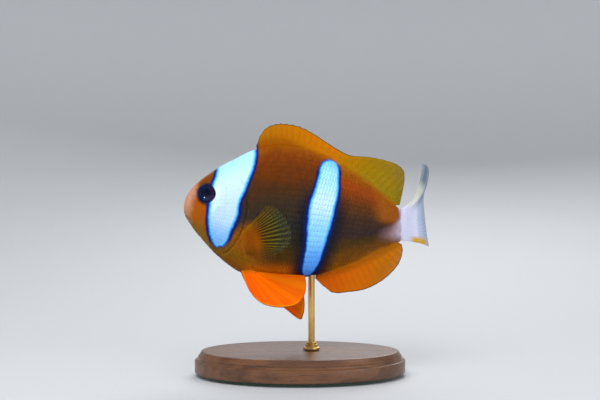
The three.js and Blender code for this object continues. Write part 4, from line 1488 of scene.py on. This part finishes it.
def paint_median(material):
    tree, shader = wet(material, soft=0.12, gloss=FIN_GLOSS)
    ray, v, edge, _, from_root = fin_notes(tree)
    rest = attribute(tree, "rest")
    x, _, z = split(rest)
    colour = mix_colour(ray * 0.2, median_colour(tree)[0], (112, 60, 0))
    colour = toned(colour, 0.86 + noise(rest, 0.8, 3.0, 0.6) * 0.28)
    rear_back = soft_step(z, 58.0, 62.0) * soft_step(x, 16.0, 30.0)
    rim = soft_step(edge, 0.5, 0.2) * mix_value(rear_back, 0.85, 0.3)
    colour = mix_colour(rim, colour, (50, 42, 10))
    see_through(shader, (1.0 - ray) * soft_step(v, 0.35, 1.0) * soft_step(x, 20.0, 43.0) * 0.3)
    finish_paint(shader, colour, fin_bump(tree, ray, from_root), 0.4, 0.12)


def paint_caudal(material):
    tree, shader = wet(material, soft=0.12, gloss=FIN_GLOSS)
    ray, v, edge, _, from_root = fin_notes(tree)
    shown = ray * soft_step(from_root, 4.0, 9.0) * 0.14
    colour = mix_colour(shown, caudal_colour(tree)[0], (232, 234, 248))
    colour = mix_colour(soft_step(edge, 0.5, 0.2) * 0.3, colour, (120, 130, 150))
    see_through(shader, (1.0 - ray) * soft_step(v, 0.35, 1.0) * 0.12)
    finish_paint(shader, colour, fin_bump(tree, ray, from_root), 0.4, 0.12)


# %% Paint on the paired fins
def paint_pectoral(material):
    """A fleshy root, solid rays and a leading ray, with dark clear web between and a worn edge."""
    tree, shader = wet(material, soft=0.1, gloss=FIN_GLOSS)
    ray, v, _, u, from_root = fin_notes(tree)
    colour = pectoral_colour(tree)[0]
    flesh_reach = mix_value(soft_step(u, 0.3, 1.0), 7.0, 4.4)
    past_flesh = soft_step(from_root - flesh_reach, -2.8, 3.2)
    web = mix_colour(past_flesh, colour, mix_colour(v, (52, 42, 1), (44, 44, 30)))
    solid = maths("MAXIMUM", maths("MAXIMUM", ray, 1.0 - past_flesh), soft_step(u, 0.93, 0.99))
    worn = soft_step(v, 0.6, 1.0) * 0.6
    see_through(shader, maths("MAXIMUM", (1.0 - solid) * 0.45, worn))
    finish_paint(shader, mix_colour(ray, web, colour), fin_bump(tree, ray, from_root, 0.3), 0.15, 0.06)


def paint_pelvic(material):
    tree, shader = wet(material, soft=0.15, gloss=FIN_GLOSS)
    ray, _, edge, u, from_root = fin_notes(tree)
    shown = ray * soft_step(from_root, 1.0, 5.0) * 0.5
    colour = mix_colour(shown, pelvic_colour(tree), (206, 62, 0))
    on_rear = soft_step(u, 0.9, 0.6)
    colour = mix_colour(soft_step(edge, 1.6, 0.7) * on_rear * 0.6, colour, (246, 134, 10))
    colour = mix_colour(soft_step(edge, 0.55, 0.25) * on_rear * 0.9, colour, (70, 32, 4))
    finish_paint(shader, colour, fin_bump(tree, ray, from_root), 0.25, 0.08)


# %% Paint the fins and say what the skin is
for name, own in [("median", median_colour), ("caudal", caudal_colour), ("pectoral", pectoral_colour)]:
    paint_scales(paint_named("scales_" + name), own, FIN_GLOSS)
for name, paint in [("median", paint_median), ("caudal", paint_caudal), ("pectoral", paint_pectoral),
                    ("pelvic", paint_pelvic)]:
    paint(paint_named("paint_" + name))

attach(skin, "root")
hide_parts("head", "lower_jaw", "gill_cover_left", "gill_cover_right", "trunk", "tail", "dorsal_fin",
            "anal_fin", "caudal_fin", "pectoral_fin_left", "pectoral_fin_right", "pelvic_fin_left",
            "pelvic_fin_right")
print("Paints on the fish:", sorted({paint.name for made in (skin, *coats) for paint in made.data.materials}))

# %% [markdown]
# ## Eyes
# A fish's eye has no lids. The clear cornea bulges a little from its socket, and behind it lie the flat
# iris and the round lens, which stands out through the pupil. So each eye is two pieces: an eyeball with
# its iris pressed flat and its lens raised, and a clear cover over it that gives the wet highlight and
# real depth.

# %% Eyeball and cornea
IRIS_LEVEL, PUPIL_RADIUS, LENS_RISE = 2.15, 1.9, 0.4
BALL_GAP, COVER_GAP = 0.12, 0.05  # how far eyeball and cornea lie inside the solid eye


def eye_frame(side):
    """The eye's centre and turn, with its axis along Y in the eye's own frame."""
    out = float(side_at(EYE_X, EYE_Z)) - EYE_SUNK
    turn = Matrix.Rotation(side * EYE_UPWARDS, 3, "X") @ Matrix.Rotation(side * EYE_FORWARDS, 3, "Z")
    return np.array([EYE_X, side * out, EYE_Z]), np.array(turn)


def eye_mesh(name, side, wide, deep, shape):
    """A ball with its pole along the eye's axis, shaped by a function of the distance from that axis."""
    bm = bmesh.new()
    bmesh.ops.create_uvsphere(bm, u_segments=56, v_segments=40, radius=1)
    ball = np.array([vert.co for vert in bm.verts]) * (wide, wide, deep)
    away = np.hypot(ball[:, 0], ball[:, 1])
    axis = shape(away, ball[:, 2])
    centre, turn = eye_frame(side)
    local = np.stack([ball[:, 0], side * axis, ball[:, 1]], axis=-1)
    notes = {"iris": np.stack([away, ball[:, 0], axis], axis=-1)}
    made = finish_mesh(bm, name, centre + local @ turn.T, notes)
    face_outwards(made)
    smooth_faces(made.data)
    return made


def iris_shape(away, height):
    flat = IRIS_LEVEL + 0.2 * (height - IRIS_LEVEL)
    lens = LENS_RISE * np.sqrt(np.clip(1 - (away / PUPIL_RADIUS) ** 2, 0, 1))
    rim = 0.06 * bump(away - PUPIL_RADIUS - 0.15, 0.12)
    return np.where(height > IRIS_LEVEL, flat + lens + rim, height)


eyeballs, covers = [], []
for side, name in SIDES:
    ball = eye_mesh(f"eyeball_{name}", side, EYE_RADIUS - BALL_GAP, EYE_FLAT - BALL_GAP, iris_shape)
    cover = eye_mesh(f"cornea_{name}", side, EYE_RADIUS - COVER_GAP, EYE_FLAT - COVER_GAP,
                     lambda away, height: height)
    for piece in (ball, cover):
        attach(piece, "root")
        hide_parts(f"eye_{name}")
    eyeballs.append(ball)
    covers.append(cover)
print("Eye pieces:", [piece.name for piece in eyeballs + covers])

# %% Paint of the eye
def paint_eyeball():
    material = bpy.data.materials.new("iris")
    tree, shader = wet(material, coat=0.0, soft=0.0, gloss=0.05)
    here = attribute(tree, "iris")
    away, forward, _ = split(here)
    streaks = noise(here, 1.6, 3.0, 0.6)
    own = ramp(away / EYE_RADIUS, [
        (0.0, (2, 5, 18)), (0.4, (3, 7, 22)), (0.45, (14, 18, 34)), (0.52, (7, 20, 50)), (0.66, (6, 17, 46)),
        (0.8, (5, 13, 36)), (0.9, (10, 14, 30)), (1.0, (24, 19, 20))])
    brown = soft_step(forward, 0.6, 2.6) * soft_step(away, 1.9, 2.4) * 0.6
    own = toned(mix_colour(brown, own, (48, 22, 40)), 0.7 + streaks * 0.6)
    finish_paint(shader, own, streaks, 0.3, 0.08)
    return material


def paint_cornea():
    """Clear and nearly flat to light, so that it hardly magnifies, with a thin uneven film of water."""
    material = bpy.data.materials.new("cornea")
    tree, shader = principled(material, {"Base Color": (1, 1, 1, 1), "Transmission Weight": 1.0, "IOR": 1.1})
    film = noise(attribute(tree, "iris"), 0.8, 2.0)
    plug(shader.inputs["Roughness"], 0.03 + film * 0.02)
    return material


iris_paint, cornea_paint = paint_eyeball(), paint_cornea()
for piece in eyeballs:
    piece.data.materials.append(iris_paint)
for piece in covers:
    piece.data.materials.append(cornea_paint)

# %% [markdown]
# ## The stand
# A turned oval of walnut with a moulded rim, felt under it, and one brass rod in a ferrule. Each is a
# short profile spun round, and the base and felt are then stretched to an oval. The stretch keeps every
# step of the rim the same width all the way round, as a cutter that follows the edge would.

# %% Turning and placing
BASE_HALF_LENGTH, BASE_HALF_WIDTH = 42.0, 29.0
ROUND_TO, OVAL_FROM = 14, 25  # the stretch is even inside the first radius and keeps steps outside the second
ROD_X = 4.6
SHARP_ANGLE = math.radians(35)


def turned(profile, steps=96):
    """A solid spun from [radius, height] points, from the axis at the bottom to the axis at the top."""
    bm = bmesh.new()
    rim = [bm.verts.new((radius, 0, height)) for radius, height in profile]
    edges = [bm.edges.new(pair) for pair in zip(rim, rim[1:])]
    bmesh.ops.spin(bm, geom=rim + edges, cent=(0, 0, 0), axis=(0, 0, 1), angle=2 * math.pi, steps=steps,
                   use_merge=True)
    bmesh.ops.remove_doubles(bm, verts=bm.verts[:], dist=1e-4)
    bmesh.ops.recalc_face_normals(bm, faces=bm.faces[:])
    return bm


def arc(centre, radius, start, stop, count=5):
    """Points of a round corner in a profile, by angles in degrees."""
    angles = np.radians(np.linspace(start, stop, count))
    return [(centre[0] + radius * math.cos(a), centre[1] + radius * math.sin(a)) for a in angles]


def place_turned(bm, name, node, x=0.0, stretch=0.0):
    mesh = bpy.data.meshes.new(name)
    even = BASE_HALF_LENGTH / BASE_HALF_WIDTH
    for vert in bm.verts:
        radius = math.hypot(vert.co.x, vert.co.y)
        along = 1.0
        if stretch and radius > 0:
            stepped = (stretch + radius) / radius
            along = even + (stepped - even) * float(smooth(radius, ROUND_TO, OVAL_FROM))
        vert.co = Vector((vert.co.x * along + x, vert.co.y, vert.co.z)) * MM
    bm.to_mesh(mesh)
    bm.free()
    smooth_faces(mesh)
    mesh.set_sharp_from_angle(angle=SHARP_ANGLE)
    made = new_object(name, mesh)
    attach(made, "root")
    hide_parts(node)
    return made


# %% Base, felt, ferrule and rod
def levels(node):
    """The lowest and highest point of a node, in millimetres."""
    low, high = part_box(node)
    return low[2] / MM, high[2] / MM


rim, stretch = BASE_HALF_WIDTH, BASE_HALF_LENGTH - BASE_HALF_WIDTH
low, high = levels("stand_base")
base_profile = [(0, low), (ROUND_TO, low), (OVAL_FROM, low), *arc((rim - 0.5, low + 0.5), 0.5, -90, 0),
                *arc((rim - 0.35, high - 3.85), 0.35, 0, 90, 4),
                *arc((rim - 0.5, high - 2.6), 0.9, 240, 150, 6),
                *arc((rim - 3.1, high - 0.75), 0.75, 0, 90, 5),
                (OVAL_FROM, high), (20, high), (ROUND_TO, high), (0, high)]
base = place_turned(turned(base_profile, 160), "plinth", "stand_base", stretch=stretch)
low, high = levels("stand_felt")
felt_profile = [(0, low), (ROUND_TO, low), (OVAL_FROM, low), *arc((rim - 2.3, low + 0.3), 0.3, -90, 0, 3),
                *arc((rim - 2.3, high - 0.3), 0.3, 0, 90, 3), (OVAL_FROM, high), (ROUND_TO, high), (0, high)]
felt = place_turned(turned(felt_profile, 160), "felt_pad", "stand_felt", stretch=stretch)
low, high = levels("stand_ferrule")
ferrule_profile = [(0, low), (3.1, low), *arc((3.15, low + 0.25), 0.25, -90, 0, 3),
                   *arc((3.1, low + 0.7), 0.3, 0, 90, 4), *arc((2.75, low + 1.35), 0.35, 250, 150, 5),
                   *arc((2.2, low + 1.8), 0.35, 10, 100, 4), (1.95, low + 2.2),
                   *arc((1.85, high - 0.25), 0.25, 0, 90, 4), (0, high)]
ferrule = place_turned(turned(ferrule_profile, 64), "ferrule", "stand_ferrule", ROD_X)
low, high = levels("stand_rod")
rod_profile = [(0, low), (0.9, low), (1.3, low + 0.4), (1.3, high - 0.5), (0.8, high), (0, high)]
rod = place_turned(turned(rod_profile, 48), "rod", "stand_rod", ROD_X)
print("Stand pieces:", {piece.name: len(piece.data.polygons) for piece in (base, felt, ferrule, rod)})

# %% [markdown]
# ## Walnut, brass and felt
# Wood grain is rings of growth cut by the saw, so it is drawn as bent bands that are very long along the
# board, with short dark pores in it. Brass that has been turned keeps fine rings from the tool. Felt is a
# mat of fibres, which reads as fine noise and a soft sheen at its edge.

# %% Stand materials
def stand_material(name, roughness, coat=0.0, metallic=0.0):
    material = bpy.data.materials.new(name)
    tree, shader = principled(material, {
        "Roughness": roughness, "Coat Weight": coat, "Coat Roughness": 0.2, "Metallic": metallic})
    return material, shader, Wire(tree.nodes.new("ShaderNodeTexCoord").outputs["Object"])


def stretched(vector, scale, turn=0.0):
    return add("Mapping", vector, (0.013, 0.004, 0.0), (0.0, 0.0, turn), scale)[0]


def walnut():
    material, shader, place = stand_material("walnut", 0.4, coat=0.12)
    grain = noise(stretched(place, (14.0, 120.0, 120.0), 0.05), 1.0, 3.0, 0.45)
    bands = maths("SINE", grain * 26.0) * 0.5 + 0.5
    bend = noise(stretched(place, (18.0, 60.0, 60.0)), 1.0, 2.0)
    pores = noise(stretched(place, (260.0, 3200.0, 3200.0), 0.05), 1.0, 2.0, 0.6)
    pores = soft_step(pores, 0.56, 0.68)
    own = mix_colour(bands, (98, 62, 38), (64, 38, 24))
    own = mix_colour(bend * 0.5, own, (120, 78, 46))
    own = mix_colour(pores * 0.55, own, (34, 20, 12))
    plug(shader.inputs["Roughness"], 0.34 + pores * 0.25)
    finish_paint(shader, own, bands * 0.2 - pores, 0.3, 0.06)
    return material


def brass():
    material, shader, place = stand_material("brass", 0.25, metallic=1.0)
    tarnish = noise(stretched(place, (90.0, 90.0, 60.0)), 1.0, 3.0, 0.6)
    own = mix_colour(soft_step(tarnish, 0.42, 0.72), (222, 184, 110), (176, 132, 66))
    rings = noise(stretched(place, (60.0, 60.0, 6000.0)), 1.0, 1.0)
    plug(shader.inputs["Roughness"], 0.2 + tarnish * 0.2)
    finish_paint(shader, own, rings, 0.15, 0.03)
    return material


# %% Felt, and the paint of each piece
def green_felt():
    material, shader, place = stand_material("felt", 0.95)
    shader.inputs["Sheen Weight"].default_value = 0.4
    shader.inputs["Sheen Roughness"].default_value = 0.6
    mat = noise(place, 2600.0, 4.0, 0.7)
    finish_paint(shader, mix_colour(mat, (28, 40, 34), (62, 82, 68)), mat, 0.6, 0.2)
    return material


brass_paint = brass()
for piece, paint in [(base, walnut()), (felt, green_felt()), (ferrule, brass_paint), (rod, brass_paint)]:
    piece.data.materials.append(paint)
    print("Nodes in the paint of the", piece.name + ":", len(paint.node_tree.nodes))

# %% [markdown]
# ## Light, floor and camera
# The model stands in a wide pale bowl, flat under it and curving up all round, so that no edge of the
# floor shows from any side. A large soft light from above and in front is the key, and weaker ones lift
# the other sides.

# %% Lamps
scene = bpy.context.scene
scene.view_settings.view_transform = "Standard"


def soft_light(name, place, target, size, power, colour=(1, 1, 1)):
    lamp = bpy.data.lights.new(name, "AREA")
    lamp.shape, lamp.size, lamp.energy, lamp.color = "DISK", size, power, colour
    holder = new_object(name, lamp)
    holder.location = place
    holder.rotation_euler = (Vector(target) - Vector(place)).to_track_quat("-Z", "Y").to_euler()
    holder.visible_transmission = False  # seen through the cornea, it would lie like a haze over the iris
    return holder


MIDDLE, EYE_FRONT = (0, 0, 0.065), (-0.037, -0.0075, 0.0714)
LAMPS = [("key", (-0.16, -0.42, 0.58), 0.6, 4.2), ("low", (-0.12, -0.5, 0.09), 0.16, 0.35),
         ("fill", (0.5, -0.45, 0.25), 0.5, 1.3), ("back", (0.1, 0.5, 0.5), 0.5, 2.6)]
for name, place, size, power in LAMPS:
    lamp = soft_light(name, place, MIDDLE, size, power)
    if name in ("key", "low"):
        lamp.visible_glossy = False  # its wide reflection would lie like a veil over the colours

# One small light is only there to be seen in the wet eyes.
catch = soft_light("catch", (-0.078, -0.0985, 0.039), EYE_FRONT, 0.06, 1.4, (0.8, 0.92, 1.2))
wet_eyes = bpy.data.collections.new("wet eyes")
for cover in covers:
    wet_eyes.objects.link(cover)
catch.light_linking.receiver_collection = wet_eyes
print("Lamps:", len(bpy.data.lights))

# %% Light from all round
world = bpy.data.worlds.new("studio")
scene.world = world
world.use_nodes = True
background = world.node_tree.nodes["Background"]
background.inputs["Color"].default_value = (0.93, 0.96, 1.0, 1)
background.inputs["Strength"].default_value = 0.62

# %% Floor
FLOOR_FLAT, FLOOR_CURVE, WALL_HEIGHT = 0.3, 1.3, 1.5


def build_floor():
    bm = turned([(0, 0), (FLOOR_FLAT / 2, 0), *arc((FLOOR_FLAT, FLOOR_CURVE), FLOOR_CURVE, -90, 0, 16),
                 (FLOOR_FLAT + FLOOR_CURVE, WALL_HEIGHT)])
    mesh = bpy.data.meshes.new("floor")
    bmesh.ops.reverse_faces(bm, faces=bm.faces[:])
    bm.to_mesh(mesh)
    bm.free()
    smooth_faces(mesh)
    paper, shader, place = stand_material("paper", 0.9)
    fibres = noise(place, 900.0, 3.0, 0.6)
    # Painted light: the paper is darker on the flat floor and lighter up the wall, to even out the lamps,
    # which fall strongest on the floor.
    low = mix_colour(fibres, (184, 186, 189), (193, 195, 197))
    high = mix_colour(fibres, (212, 214, 217), (220, 222, 224))
    plug(shader.inputs["Base Color"], mix_colour(soft_step(split(place)[2], 0.0, 0.35), low, high))
    mesh.materials.append(paper)
    new_object("floor", mesh)


build_floor()

# %% Camera
lens = bpy.data.cameras.new("camera")
lens.lens, lens.sensor_width, lens.sensor_fit = 60, 36, "HORIZONTAL"
lens.clip_start, lens.clip_end = 0.01, 20
camera = new_object("camera", lens)
camera.location = (0, -0.4, 0.07)
camera.rotation_euler = (math.pi / 2, 0, 0)
scene.camera = camera
print("Camera stands off, m:", round(-camera.location.y, 3))
